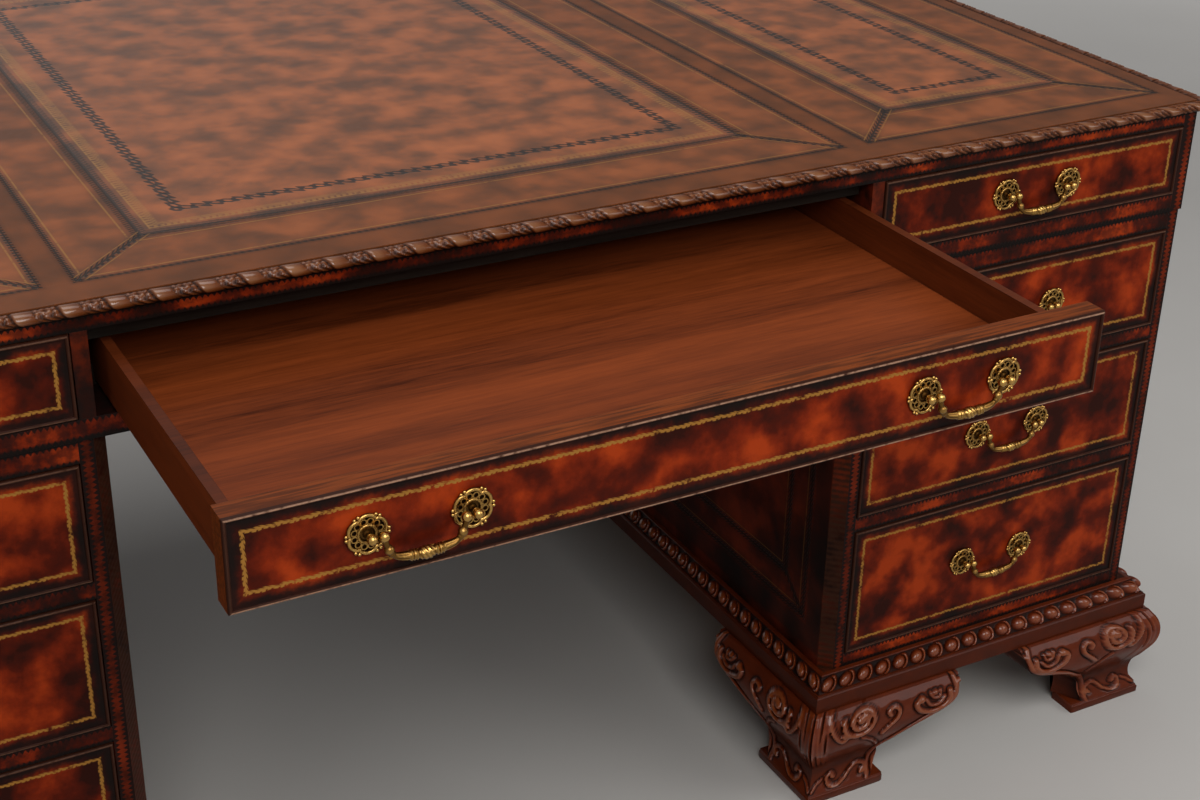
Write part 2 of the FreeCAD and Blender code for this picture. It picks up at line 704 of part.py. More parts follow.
def faceted_ring(sketch, sides, apothem, centre=(ZERO, ZERO)):
    """A regular outline with its flats facing along the sketch's own axes."""
    reach = apothem / spoke(1, sides * 2)[0]
    points = []
    for side in range(sides):
        across, up = spoke(side * 2 + 1, sides * 2)
        points.append((centre[0] + reach * across, centre[1] + reach * up))
    closed_outline(sketch, points[0], points[1:])


def faceted_pad(body, sides, lift, apothem, length):
    """A faceted bar along the body's own -Y, from a level in front of its face."""
    ring = sketch_on(body, "XZ_Plane", lift=lift)
    faceted_ring(ring, sides, apothem)
    return pad(body, ring, length)


def make_rosette():
    """A lobed back plate, flat against the drawer front."""
    body = start_body("rosette_pattern")
    outline = sketch_on(body, "XZ_Plane")
    points = []
    for step in range(ROSETTE_LOBES * 2):
        reach = size("rosette_radius") if step % 2 == 0 else size("rosette_notch_radius")
        across, up = spoke(step, ROSETTE_LOBES * 2)
        points.append((reach * across, reach * up))
    closed_outline(outline, points[0], points[1:])
    pad(body, outline, size("rosette_thickness"))
    return body


def make_post():
    """A cast post with a flange, a stem and a bevelled finial, bored on its +X side for the bail's pin."""
    body = start_body("post_pattern")
    pivot = size("pivot_reach") - size("rosette_thickness")
    ball = size("ball_radius")
    finial = faceted_pad(body, FACETS, pivot - ball, ball, ball * 2)
    doc.recompute()
    rims = [f"Edge{index}" for index, edge in enumerate(finial.Shape.Edges, start=1)
            if edge.BoundBox.YLength < ball.mm]
    bevel = body.newObject("PartDesign::Chamfer", "finial_bevel")
    bevel.Base = (finial, rims)
    bind(bevel, "Size", size("ball_bevel"))
    flange = size("flange_thickness")
    faceted_pad(body, SHANK_SIDES, flange, size("stem_radius"), pivot - flange)
    faceted_pad(body, FLANGE_SIDES, ZERO, size("flange_radius"), flange)
    bore = sketch_on(body, "YZ_Plane")
    round_outline(bore, (-pivot, ZERO), size("pin_radius") + size("pin_clearance"))
    cut(body, bore, ball + size("cut_overrun"), reverse=True)
    return body


def make_bail():
    """A bail with faceted arms, a swelling in the middle, and a knuckle with a pin at each end.

    It is drawn hanging, with its pivot line along X through its own origin.
    """
    body = start_body("bail_pattern")
    pin_start = size("post_spacing") / 2 - size("ball_radius") - size("knuckle_gap")
    knuckle = size("knuckle_length")
    neck_x = pin_start - knuckle / 2
    drop = size("bail_drop")
    bend = size("bend_radius")
    corner = []
    for step in range(BEND_STEPS + 1):
        across, up = spoke(step, BEND_STEPS * 4)
        corner.append((neck_x - bend + bend * across, bend - drop - bend * up))
    path = corner + [(-x, z) for x, z in reversed(corner)] + [(-neck_x, ZERO)]
    spine = sketch_on(body, "XZ_Plane")
    open_path(spine, (neck_x, ZERO), path)
    section = sketch_on(body, "XY_Plane")
    faceted_ring(section, FACETS, size("bail_radius"), (neck_x, ZERO))
    arms = body.newObject("PartDesign::AdditivePipe", "bail_arms")
    arms.Profile = section
    arms.Spine = spine
    arms.Transition = "Right corner"
    doc.recompute()

    swell = sketch_on(body, "YZ_Plane", lift=-(size("swell_length") / 2))
    faceted_ring(swell, FACETS, size("swell_radius"), (ZERO, -drop))
    pad(body, swell, size("swell_length"))
    for inner, outer in ((pin_start - knuckle, pin_start), (-pin_start, knuckle - pin_start)):
        end = sketch_on(body, "YZ_Plane", lift=inner)
        faceted_ring(end, FACETS, size("ball_radius"))
        pad(body, end, outer - inner)
    pin_reach = size("knuckle_gap") + size("ball_radius") - size("pin_end_gap")
    pin_flat = size("pin_radius") * spoke(1, PIN_FACETS * 2)[0]
    for start in (pin_start, -(pin_start + pin_reach)):
        pin = sketch_on(body, "YZ_Plane", lift=start)
        faceted_ring(pin, PIN_FACETS, pin_flat)
        pad(body, pin, pin_reach)
    return body


rosette_pattern = make_rosette()
post_pattern = make_post()
bail_pattern = make_bail()
make_top()
make_frieze()
make_pedestal()
make_plinth()
make_feet()
frieze_side_width = frieze_inside - side_opening_start
frieze_opening_height = opening_top - opening_bottom
pull_offset = half_centre_opening - size("centre_pull_inset")
drawer("centre_drawer", -half_centre_opening, opening_bottom, size("centre_opening_width"),
       frieze_opening_height, front, size("drawer_open"), (-pull_offset, pull_offset))
drawer("right_frieze_drawer", side_opening_start, opening_bottom, frieze_side_width,
       frieze_opening_height, front, ZERO, (ZERO,))
drawer_openings = (("upper", upper_bottom, upper_top), ("middle", middle_bottom, middle_top),
                   ("lower", lower_bottom, lower_top))
for name, bottom, top in drawer_openings:
    drawer(f"right_{name}_drawer", drawer_space_start, bottom, drawer_space_width,
           top - bottom, pedestal_front, ZERO, (ZERO,))
doc.recompute()
for label in [label for label in NODES if label.startswith("right_")]:
    left_copy(label)
doc.recompute()

for thing in doc.Objects:
    if "Invalid" in thing.State or "Error" in thing.State:
        raise RuntimeError(f"{thing.Label} did not build: {thing.State}")
os.makedirs("parts", exist_ok=True)
for label, node in NODES.items():
    shape = Part.getShape(node)
    if shape.isNull() or not shape.isValid():
        raise RuntimeError(f"{label} has no sound shape")
for label, node in NODES.items():
    shape = Part.getShape(node)
    shape.exportStep(f"parts/{label}.step")
    print(f"{label}: {len(shape.Solids)} solids, {shape.Volume / 1000:.1f} cubic centimetres")
print(f"{len(NODES)} sub-parts")
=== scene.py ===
# %% [markdown]
# # A pedestal desk in tooled leather, carved mahogany and brass
# The desk arrives as a packed model of plain boards, rails and drawers, each on the body that it moves
# with. This lesson dresses it: leather that is stained and tooled, carved mouldings and feet, and cast
# brass pulls. Loading comes first, because every place below is read from the packed boards and not typed
# a second time.

# %% Load the packed desk
import json
import math
from functools import reduce

import bmesh
import bpy
import numpy as np
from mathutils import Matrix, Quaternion, Vector

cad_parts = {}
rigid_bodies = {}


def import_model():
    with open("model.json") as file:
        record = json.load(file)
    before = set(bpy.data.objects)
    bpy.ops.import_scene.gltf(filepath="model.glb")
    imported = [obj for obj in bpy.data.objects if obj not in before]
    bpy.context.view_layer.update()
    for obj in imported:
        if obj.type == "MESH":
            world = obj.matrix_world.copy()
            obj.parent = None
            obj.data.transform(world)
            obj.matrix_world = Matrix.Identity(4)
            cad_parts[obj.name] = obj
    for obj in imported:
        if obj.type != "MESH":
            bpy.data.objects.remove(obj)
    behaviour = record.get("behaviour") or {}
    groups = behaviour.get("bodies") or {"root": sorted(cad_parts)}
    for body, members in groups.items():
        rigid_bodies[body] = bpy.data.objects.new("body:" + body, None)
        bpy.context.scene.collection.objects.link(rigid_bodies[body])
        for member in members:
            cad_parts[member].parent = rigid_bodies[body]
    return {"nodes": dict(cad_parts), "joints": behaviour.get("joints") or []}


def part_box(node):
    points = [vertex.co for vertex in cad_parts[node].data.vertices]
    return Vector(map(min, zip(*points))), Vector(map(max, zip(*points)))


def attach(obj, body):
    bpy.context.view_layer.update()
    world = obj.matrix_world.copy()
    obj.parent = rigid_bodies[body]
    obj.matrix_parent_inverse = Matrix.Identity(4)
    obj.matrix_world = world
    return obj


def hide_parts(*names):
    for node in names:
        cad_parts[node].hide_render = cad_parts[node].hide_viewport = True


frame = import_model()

MM = 0.001
nodes = frame["nodes"]
scene = bpy.context.scene
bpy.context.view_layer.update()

# %% [markdown]
# The camera stands in front of the desk and to its left, and looks down over the open drawer. It could be
# aimed by eye, but here its place, aim, roll and lens were worked out from the desk's straight edges. A
# track quaternion turns the aim into a rotation, and a small roll about the line of sight follows.

# %% Camera
CAMERA_PLACE = Vector((-0.7075, -1.8196, 1.4207))
CAMERA_AIM = Vector((0.2396, -0.1034, 0.4219))
CAMERA_ROLL = math.radians(1.16)
CAMERA_LENS = 57.0
CAMERA_SENSOR = 36.0

camera = bpy.data.objects.new("camera", bpy.data.cameras.new("camera"))
camera.data.lens = CAMERA_LENS
camera.data.sensor_width = CAMERA_SENSOR
camera.location = CAMERA_PLACE
level_turn = (CAMERA_AIM - CAMERA_PLACE).to_track_quat("-Z", "Y")
camera.rotation_euler = (level_turn @ Quaternion((0, 0, 1), CAMERA_ROLL)).to_euler()
scene.collection.objects.link(camera)
scene.camera = camera
scene.view_settings.view_transform = "Standard"
print("camera", round((CAMERA_AIM - CAMERA_PLACE).length, 2), "m from what it looks at")

# %% [markdown]
# A surface's look is a small graph of nodes, and drawing sums with nodes is slow to write and hard to
# read. So one class stands for a socket and overloads Python's operators: an expression adds its Math
# nodes by itself. Each operator comes with its reflected form, which lets a plain number stand on the
# left: 1 - mask works.

# %% A value that varies over a surface
def sign(operation):
    """An operator of values and its reflected form, as one kind of Math node."""
    def forward(self, other):
        return self.finish.maths(operation, self, other)

    def reflected(self, other):
        return self.finish.maths(operation, other, self)

    return forward, reflected


class Value:
    """A number or colour that varies over a surface, kept as the socket that gives it."""

    __add__, __radd__ = sign("ADD")
    __sub__, __rsub__ = sign("SUBTRACT")
    __mul__, __rmul__ = sign("MULTIPLY")
    __truediv__, __rtruediv__ = sign("DIVIDE")
    __mod__, __rmod__ = sign("FLOORED_MODULO")

    def __init__(self, finish, socket):
        self.finish = finish
        self.socket = socket

    def __abs__(self):
        return self.finish.maths("ABSOLUTE", self)


print("values take", sum(name.startswith("__r") and name != "__repr__" for name in vars(Value)), "signs")

# %% [markdown]
# A finish is one material. One method makes any node from its type, its settings and its inputs, and the
# rest are short words for what this desk's finishes ask for again and again: soft steps, bands, noise and
# mixes. Places are read in object coordinates, which are metres in the desk's own frame and move with
# each drawer.

# %% A finish and its short words
EDGE_SAMPLES = 4


class Finish:
    """The nodes of one material, or of the world, and the words that its expressions use."""

    def __init__(self, name, holder=None):
        self.material = holder or bpy.data.materials.new(name)
        self.material.use_nodes = True
        self.tree = self.material.node_tree
        self.tree.nodes.clear()
        self.place = self.node("ShaderNodeTexCoord", output="Object")
        self.x, self.y, self.z = self.axes(self.place)
        self.facing = self.axes(self.node("ShaderNodeTexCoord", output="Normal"))

    def node(self, kind, settings=None, inputs=None, output=0):
        made = self.tree.nodes.new(kind)
        for name, setting in (settings or {}).items():
            if name == "stops":
                self.set_stops(made.color_ramp, setting)
            else:
                setattr(made, name, setting)
        for name, value in (inputs or {}).items():
            self.feed(made.inputs[name], value)
        return Value(self, made.outputs[output]) if made.outputs else None

    def set_stops(self, ramp, stops):
        while len(ramp.elements) < len(stops):
            ramp.elements.new(1.0)
        for element, (position, colour) in zip(ramp.elements, stops):
            element.position = position
            element.color = (*colour, 1.0)

    def feed(self, socket, value):
        if isinstance(value, Value):
            self.tree.links.new(value.socket, socket)
        elif socket.type == "RGBA":
            socket.default_value = (*value, 1.0)
        else:
            socket.default_value = value

    def axes(self, vector):
        parts = self.node("ShaderNodeSeparateXYZ", inputs={"Vector": vector})
        return [Value(self, socket) for socket in parts.socket.node.outputs]

    def maths(self, operation, first, second=0.0):
        return self.node("ShaderNodeMath", {"operation": operation}, {0: first, 1: second})

    def least(self, first, second):
        return self.maths("MINIMUM", first, second)

    def most(self, first, second):
        return self.maths("MAXIMUM", first, second)

    def wave(self, run, length):
        """A sine along a run that repeats after a length."""
        return self.maths("SINE", run * (2 * math.pi / length))

    def inside(self, value, low, high):
        """How far a value lies inside the nearer of two limits."""
        return self.least(value - low, high - value)

    def step(self, value, start, end):
        """0 before start and 1 after end, or the other way round where start is the larger."""
        return self.node("ShaderNodeMapRange", {"interpolation_type": "SMOOTHSTEP"},
                         {"Value": value, "From Min": start, "From Max": end})

    def band(self, value, centre, width, soft):
        """1 within half a width of the centre, with soft sides."""
        return self.step(abs(value - centre), (width + soft) / 2, (width - soft) / 2)

    def marks(self, run, pitch, share, soft):
        """1 on the marks of a rolling tool, each a share of the pitch wide."""
        return self.band(run % pitch, pitch / 2, pitch * share, soft)

    def mix(self, share, first, second):
        return self.node("ShaderNodeMix", {"data_type": "RGBA"}, {0: share, 6: first, 7: second}, output=2)

    def ramp(self, value, stops):
        return self.node("ShaderNodeValToRGB", {"stops": stops}, {"Fac": value})

    def stretched(self, factors):
        return self.node("ShaderNodeVectorMath", {"operation": "MULTIPLY"}, {0: self.place, 1: factors})

    def noise(self, place, scale, detail=3.0, roughness=0.5, distortion=0.0):
        return self.node("ShaderNodeTexNoise", inputs={
            "Vector": place, "Scale": scale, "Detail": detail, "Roughness": roughness,
            "Distortion": distortion})

    def ray(self, kind):
        return self.node("ShaderNodeLightPath", output=f"Is {kind} Ray")

    def seen(self):
        """1 where the camera, metal or glass looks, and 0 where only soft light is gathered."""
        return reduce(self.most, [self.ray(kind) for kind in ("Camera", "Glossy", "Transmission")])

    def surface(self, colour, roughness, height, constants, edge=None):
        """Ends the finish: one Principled shader, with bump from a height in metres."""
        bump = {"Strength": 1.0, "Distance": 1.0, "Height": height}
        if edge:
            bump["Normal"] = self.node("ShaderNodeBevel", {"samples": EDGE_SAMPLES}, {"Radius": edge})
        shader = self.node("ShaderNodeBsdfPrincipled", inputs={
            "Base Color": colour, "Roughness": roughness, "Normal": self.node("ShaderNodeBump", inputs=bump),
            **constants})
        self.node("ShaderNodeOutputMaterial", inputs={"Surface": shader})
        return self.material


print("shader words:", ", ".join(word for word in vars(Finish) if not word.startswith("_")))

# %% [markdown]
# The stage is a plain pale floor under soft studio light. A floor could carry a photographed texture, but
# a quiet colour with a little unevenness keeps the eye on the desk and still takes its shadow. Far from
# the desk the floor glows softly, but only for rays that look at it, so that it lights nothing.

# %% Floor
FLOOR_REACH = 14.0
FLOOR_PALE = (0.56, 0.54, 0.51)
FLOOR_DULL = (0.51, 0.49, 0.46)
FLOOR_PATCHES = 1.7
FLOOR_MATT = 0.55
FLOOR_UNEVEN = 0.2
BACKDROP = (0.33, 0.325, 0.315)
BACKDROP_STARTS = 2.2
BACKDROP_FULL = 6.0
BLACK = (0.0, 0.0, 0.0)

floor_mesh = bpy.data.meshes.new("floor")
floor_corners = [(x * FLOOR_REACH, y * FLOOR_REACH, 0) for x, y in ((-1, -1), (1, -1), (1, 1), (-1, 1))]
floor_mesh.from_pydata(floor_corners, [], [(0, 1, 2, 3)])
floor = bpy.data.objects.new("floor", floor_mesh)
scene.collection.objects.link(floor)
floor_finish = Finish("pale_floor")
unevenness = floor_finish.noise(floor_finish.place, FLOOR_PATCHES, 4.0)
floor_colour = floor_finish.ramp(unevenness, ((0.3, FLOOR_DULL), (0.7, FLOOR_PALE)))
distance = floor_finish.node(
    "ShaderNodeVectorMath", {"operation": "LENGTH"}, {0: floor_finish.place}, "Value")
far_and_seen = floor_finish.step(distance, BACKDROP_STARTS, BACKDROP_FULL) * floor_finish.seen()
floor_glow = floor_finish.mix(far_and_seen, BLACK, BACKDROP)
floor_mesh.materials.append(floor_finish.surface(
    floor_colour, FLOOR_MATT + unevenness * FLOOR_UNEVEN, unevenness * (FLOOR_UNEVEN * MM),
    {"Emission Color": floor_glow, "Emission Strength": 1.0}))
print("floor", FLOOR_REACH * 2, "m square")

# %% [markdown]
# Soft light comes from three large area lamps: one before the desk, a weak one from the right, and one
# overhead. The world gives the rest, lighter overhead than at the horizon. The camera sees it as one pale
# colour, and in polished surfaces it fades towards the right, which lays a soft gleam on the writing top.

# %% Lamps and world
LAMPS = {
    "front_lamp": ((-0.4, -2.7, 2.8), (0.1, -0.3, 0.5), 2.0, 74.0),
    "right_lamp": ((2.5, -2.4, 2.2), (0.4, -0.2, 0.5), 1.8, 25.0),
    "high_lamp": ((0.0, 0.7, 3.4), (0.0, 0.0, 0.7), 1.8, 26.0),
}
WORLD_LOW = (0.09, 0.09, 0.09)
WORLD_HIGH = (0.26, 0.26, 0.27)
WORLD_SEEN = (0.52, 0.51, 0.50)
GLEAM_LEFT = (0.60, 0.59, 0.58)
GLEAM_RIGHT = (0.27, 0.265, 0.26)
GLEAM_FADE = (0.10, 0.65)

for name, (place, aim, width, power) in LAMPS.items():
    lamp = bpy.data.objects.new(name, bpy.data.lights.new(name, "AREA"))
    lamp.data.energy = power
    lamp.data.size = width
    lamp.location = place
    lamp.rotation_euler = (Vector(aim) - Vector(place)).to_track_quat("-Z", "Y").to_euler()
    scene.collection.objects.link(lamp)

sky = Finish("soft_studio", bpy.data.worlds.new("soft_studio"))
rightwards, _, upwards = sky.axes(sky.node("ShaderNodeTexCoord", output="Generated"))
gleam = sky.mix(sky.step(rightwards, *GLEAM_FADE), GLEAM_LEFT, GLEAM_RIGHT)
pale = sky.mix(sky.ray("Glossy"), WORLD_SEEN, gleam)
sky_colour = sky.mix(sky.seen(), sky.ramp(upwards, ((0.0, WORLD_LOW), (1.0, WORLD_HIGH))), pale)
sky_light = sky.node("ShaderNodeBackground", inputs={"Color": sky_colour})
sky.node("ShaderNodeOutputWorld", inputs={"Surface": sky_light})
scene.world = sky.material
print(len(LAMPS), "lamps")

# %% [markdown]
# The desk's boards are faced with thin leather that was stained in cloudy patches, like tortoiseshell. A
# painted picture would do, but noise at the size of the patches gives the same clouds on any board. A
# skin starts from that stain, and then takes what a binder does to leather: staining, pressing and
# gilding.

# %% Marbled leather
FRONT_TONES = ((0.35, (0.024, 0.0042, 0.0022)), (0.46, (0.078, 0.0074, 0.0022)),
               (0.55, (0.172, 0.0160, 0.0030)), (0.66, (0.325, 0.0360, 0.0050)))
# Sides, backs and partitions are toned darker than the fronts: partly the leather's own tone, partly painted
# shade for the kneehole.
SIDE_TONES_WITH_SHADE = ((0.36, (0.012, 0.0034, 0.002)), (0.50, (0.055, 0.0070, 0.002)), (0.70, (0.175, 0.0210, 0.005)))
GOLD = (0.36, 0.165, 0.032)
GOLD_METAL = 0.45
GOLD_WEAR = (0.30, 0.48)
# The black of burnt tooling, also used for painted shade on the rails.
BURNT_AND_SHADE = (0.0075, 0.0048, 0.0040)
SPECK_SHARE = 0.16
PORES = 620.0
PORE_DEPTH = 0.06 * MM
SKIN_COAT_ROUGHNESS = 0.16


class Skin:
    """Leather on a board: its stain, how deep it is pressed, and where it is gilded."""

    def __init__(self, name, tones, patch, gloss=0.30):
        finish = Finish(name)
        clouds = finish.noise(finish.place, 1 / patch, 2.0, 0.45, 0.12)
        specks = finish.noise(finish.place, 6 / patch, 4.0, 0.6)
        pores = finish.noise(finish.place, PORES, 2.0, 0.6)
        self.finish = finish
        self.specks = specks
        self.colour = finish.ramp(clouds * (1 - SPECK_SHARE) + specks * SPECK_SHARE, tones)
        self.height = pores * PORE_DEPTH
        self.roughness = gloss + specks * 0.16
        self.gilded = 0.0

    def stain(self, mask, colour):
        self.colour = self.finish.mix(mask, self.colour, colour)

    def press(self, mask, depth):
        self.height = self.height - mask * depth

    def gild(self, mask):
        worn = mask * self.finish.step(self.specks, *GOLD_WEAR)
        self.stain(worn, GOLD)
        self.gilded = self.finish.most(self.gilded, worn)

    def done(self, edge=0.7 * MM, sheen=0.05, coat=0.02):
        return self.finish.surface(self.colour, self.roughness, self.height, {
            "Metallic": self.gilded * GOLD_METAL, "Specular IOR Level": sheen, "Coat Weight": coat,
            "Coat Roughness": SKIN_COAT_ROUGHNESS}, edge)


print("leather in", len(FRONT_TONES), "tones from burnt to orange")

# %% [markdown]
# Each drawer front has a burnt black border, a thin gilt line of leaning leaves and a rounded cockbead.
# The border could be painted by hand for each front. Here the shader measures how far a point lies from
# the front's nearest edge, so that one function tools all nine fronts, whatever their size. The way a
# face looks tells the polished wood of the front's upper edge, ends and back from its leather.

# %% The tooling of a drawer front
FRONT_PATCH = 40 * MM
BORDER_FADE = (15 * MM, 5.5 * MM)
BORDER_RAGGED = 7 * MM
GILT_INSET = 14.0 * MM
GILT_SWAY = 0.4 * MM
GILT_VEIN = (1.1 * MM, 0.5 * MM)
GILT_REACH = (2.17 * MM, 1.395 * MM)
GILT_LEAF = 4.6 * MM
GILT_LEAN = 1.4
GILT_PRESSED = 0.12 * MM
COCKBEAD = 3.5 * MM
BEAD_BROWN = (0.034, 0.0100, 0.0050)
BEAD_CREST = (COCKBEAD * 0.42, COCKBEAD * 0.34, 1.1 * MM)
LEAST_WEAR_AND_HIGHLIGHT = 0.04
BEAD_WEAR_AND_HIGHLIGHT = (0.420, 0.235, 0.150)
POLISHED_EDGE = (0.190, 0.042, 0.0090)
BEHIND_BEAD = (3.4 * MM, 3.8 * MM)
SQUARE_ON = (0.8, 0.95)
PARTLY_ON = (0.5, 0.8)
GRAIN_ACROSS = (5.0, 95.0, 95.0)


def front_finish(name, low, high, wear_and_highlight):
    skin = Skin(name, FRONT_TONES, FRONT_PATCH)
    finish = skin.finish
    beside = finish.inside(finish.x, low.x, high.x)
    above = finish.inside(finish.z, low.z, high.z)
    inset = finish.least(beside, above)
    run = finish.x + finish.z
    skin.stain(finish.step(inset + (skin.specks - 0.5) * BORDER_RAGGED, *BORDER_FADE) * 0.94, BURNT_AND_SHADE)
    aside = abs(inset - GILT_INSET + finish.wave(run, GILT_LEAF * 3) * GILT_SWAY)
    leaves = finish.marks(run + aside * GILT_LEAN, GILT_LEAF, 0.66, 1.2 * MM)
    leaves = leaves * finish.step(aside, *GILT_REACH)
    line = finish.most(finish.step(aside, *GILT_VEIN), leaves)
    skin.gild(line)
    skin.press(line, GILT_PRESSED)
    skin.stain(finish.step(inset, COCKBEAD, COCKBEAD * 0.9) * 0.85, BEAD_BROWN)
    # The cockbead's crest is paler, partly wear and partly a painted highlight, strongest along the top and
    # bottom edges.
    level = LEAST_WEAR_AND_HIGHLIGHT + finish.step(beside - above, -1 * MM, 1 * MM) * wear_and_highlight
    skin.stain(finish.band(inset, *BEAD_CREST) * finish.step(skin.specks, 0.25, 0.55) * level, BEAD_WEAR_AND_HIGHLIGHT)
    upper_edge = finish.step(finish.facing[2], *SQUARE_ON)
    back = finish.step(finish.facing[1], *PARTLY_ON)
    ends = finish.step(abs(finish.facing[0]), *SQUARE_ON)
    behind_bead = finish.step(finish.y, low.y + BEHIND_BEAD[0], low.y + BEHIND_BEAD[1])
    wooden = reduce(finish.most, (upper_edge, back, ends)) * behind_bead
    skin.stain(wooden, POLISHED_EDGE)
    streaks = finish.noise(finish.stretched(GRAIN_ACROSS), 3.0, 4.0, 0.6)
    skin.stain(wooden * finish.step(streaks, 0.62, 0.36) * 0.6, BURNT_AND_SHADE)
    return skin.done()


print("gilt line", round(GILT_INSET / MM), "mm from the edge of a front")

# %% [markdown]
# Carved and cast pieces are meshes worked out here, point by point, so a small class gathers their points
# and faces. Primitives and modifiers would be quicker for plain forms, but a carved face needs every
# point to be placed. Each point also carries a depth, 1 on a crest and 0 in a hollow, which the finishes
# of wood and brass read later.

# %% A place to gather a piece before it becomes a mesh
class Shape:
    """The points, faces and depth of carving of a piece."""

    def __init__(self):
        self.points = []
        self.faces = []
        self.depths = []
        self.count = 0

    def add(self, points, faces, depth=None):
        points = np.asarray(points, float).reshape(-1, 3)
        depth = np.ones(len(points)) if depth is None else np.asarray(depth, float).ravel()
        self.points.append(points)
        self.depths.append(depth)
        self.faces += [tuple(corner + self.count for corner in face) for face in faces]
        self.count += len(points)

    def piece(self, name, material, body, slot, replaced, smooth=50):
        """The finished object, riding on its body in place of the packed node."""
        mesh = bpy.data.meshes.new(name)
        mesh.from_pydata(np.concatenate(self.points).tolist(), [], self.faces)
        depth = mesh.attributes.new("depth", "FLOAT", "POINT")
        depth.data.foreach_set("value", np.concatenate(self.depths).astype(np.float32))
        editable = bmesh.new()
        editable.from_mesh(mesh)
        bmesh.ops.recalc_face_normals(editable, faces=editable.faces)
        editable.to_mesh(mesh)
        editable.free()
        mesh.shade_smooth()
        mesh.set_sharp_from_angle(angle=math.radians(smooth))
        mesh.materials.append(material)
        made = bpy.data.objects.new(name, mesh)
        scene.collection.objects.link(made)
        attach(made, body)
        if replaced:
            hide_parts(replaced)
        return made


def net(rows, columns, rows_meet=False, columns_meet=False):
    """Faces between the points of a grid, given row after row, which may close on itself."""
    return [(row * columns + column, row * columns + (column + 1) % columns,
             (row + 1) % rows * columns + (column + 1) % columns, (row + 1) % rows * columns + column)
            for row in range(rows if rows_meet else rows - 1)
            for column in range(columns if columns_meet else columns - 1)]


def tube(rows, columns):
    """Faces of a tube of closed rows, with its first and last row filled in."""
    caps = [tuple(range(columns)), tuple(range((rows - 1) * columns, rows * columns))]
    return net(rows, columns, columns_meet=True) + caps


print("a tube of 3 rows of 4 points has", len(tube(3, 4)), "faces")

# %% [markdown]
# A front is a board whose cockbead stands a little proud and is rounded over. A Bevel modifier on a box
# would round every edge alike. Instead the front is drawn as a stack of rectangles, each set in by so
# much and standing so far out, which gives the bead a true half round with mitred corners.

# %% Drawer fronts with a rounded cockbead
BEAD_STEPS = 8
BEAD_PROUD = 2.0 * MM
WIDE_WEAR_AND_HIGHLIGHT = 0.80
SIDE_WEAR_AND_HIGHLIGHT = 0.16
DRAWERS = [node[:-len("_front")] for node in nodes if node.endswith("_drawer_front")]


def stacked_rectangles(low, high, rings):
    """Points of rectangles in the front's plane, each set in from the edges at its own depth."""
    return [[(low.x + inset, depth, low.z + inset), (high.x - inset, depth, low.z + inset),
             (high.x - inset, depth, high.z - inset), (low.x + inset, depth, high.z - inset)]
            for inset, depth in rings]


for drawer in DRAWERS:
    low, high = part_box(drawer + "_front")
    rings = [(0.0, high.y)]
    for step in range(BEAD_STEPS + 1):
        angle = math.pi * step / BEAD_STEPS
        rings.append((COCKBEAD / 2 * (1 - math.cos(angle)), low.y + BEAD_PROUD * (1 - math.sin(angle))))
    front = Shape()
    front.add(stacked_rectangles(low, high, rings), tube(len(rings), 4))
    # The centre drawer's cockbead carries more of the wear and painted highlight than the others.
    wear_and_highlight = WIDE_WEAR_AND_HIGHLIGHT if drawer == "centre_drawer" else SIDE_WEAR_AND_HIGHLIGHT
    front.piece(drawer + "_tooled_front", front_finish(drawer + "_leather", low, high, wear_and_highlight), drawer,
                "leather_faced_board", drawer + "_front", smooth=40)
print(len(DRAWERS), "drawer fronts")

# %% [markdown]
# Rails and stiles are narrow strips of the same leather. A wheel with teeth was run along both edges of
# each, and left rows of small black triangles that point inwards. Modelling thousands of teeth would be
# heavy. A sawtooth along the strip, compared with the distance from its edge, draws them all.

# %% Toothed strips
TOOTH_PITCH = 5.2 * MM
TOOTH_DEPTH = 4.0 * MM
TOOTH_ROOT = 1.2 * MM
TOOTH_SOFT = 0.5 * MM
TOOTH_PRESSED = 0.15 * MM


def tooth_strip(skin, edge, run, where):
    """Blackens the edge of a strip in teeth, where the strip is."""
    saw = abs((run / TOOTH_PITCH) % 1.0 * 2.0 - 1.0) * TOOTH_DEPTH
    teeth = skin.finish.step(edge, saw + (TOOTH_ROOT + TOOTH_SOFT), saw + TOOTH_ROOT) * where
    skin.stain(teeth * 0.93, BURNT_AND_SHADE)
    skin.press(teeth, TOOTH_PRESSED)


def strips(finish, along, levels):
    """Distance from the nearest edge of several strips that lie side by side."""
    return reduce(finish.most, [finish.inside(along, bottom, top) for bottom, top in levels])


def dress(node, material):
    """Gives a packed node its finish."""
    mesh = nodes[node].data
    mesh.materials.clear()
    mesh.materials.append(material)


print("teeth", TOOTH_PITCH / MM, "mm apart")

# %% [markdown]
# The rails above, between and below the drawers are one board on the packed model, cut out for the drawers.
# Each could be a strip of its own, but the heights of the drawers tell where the strips begin and end. A
# dark band along the lower edge of each rail, and another along the top of the highest, is painted shade,
# and all of the leather that doesn't look to the front is darkened too.

# %% Rails
RAIL_PATCH = 50 * MM
RAIL_BURNT = (0.64, 0.40)
RAIL_FOOT = 1.5 * MM
RAIL_SHADE = (6 * MM, 4 * MM)
RAIL_TOP_SHADE = (3 * MM, 2 * MM)


def levels_between(top, bottom, drawers):
    """The heights of the rails above, between and below a column of drawers."""
    edges = [top]
    for drawer in drawers:
        low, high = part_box(drawer + "_front")
        edges += [high.z, low.z]
    edges.append(bottom)
    return [(edges[index + 1], edges[index]) for index in range(0, len(edges), 2)]


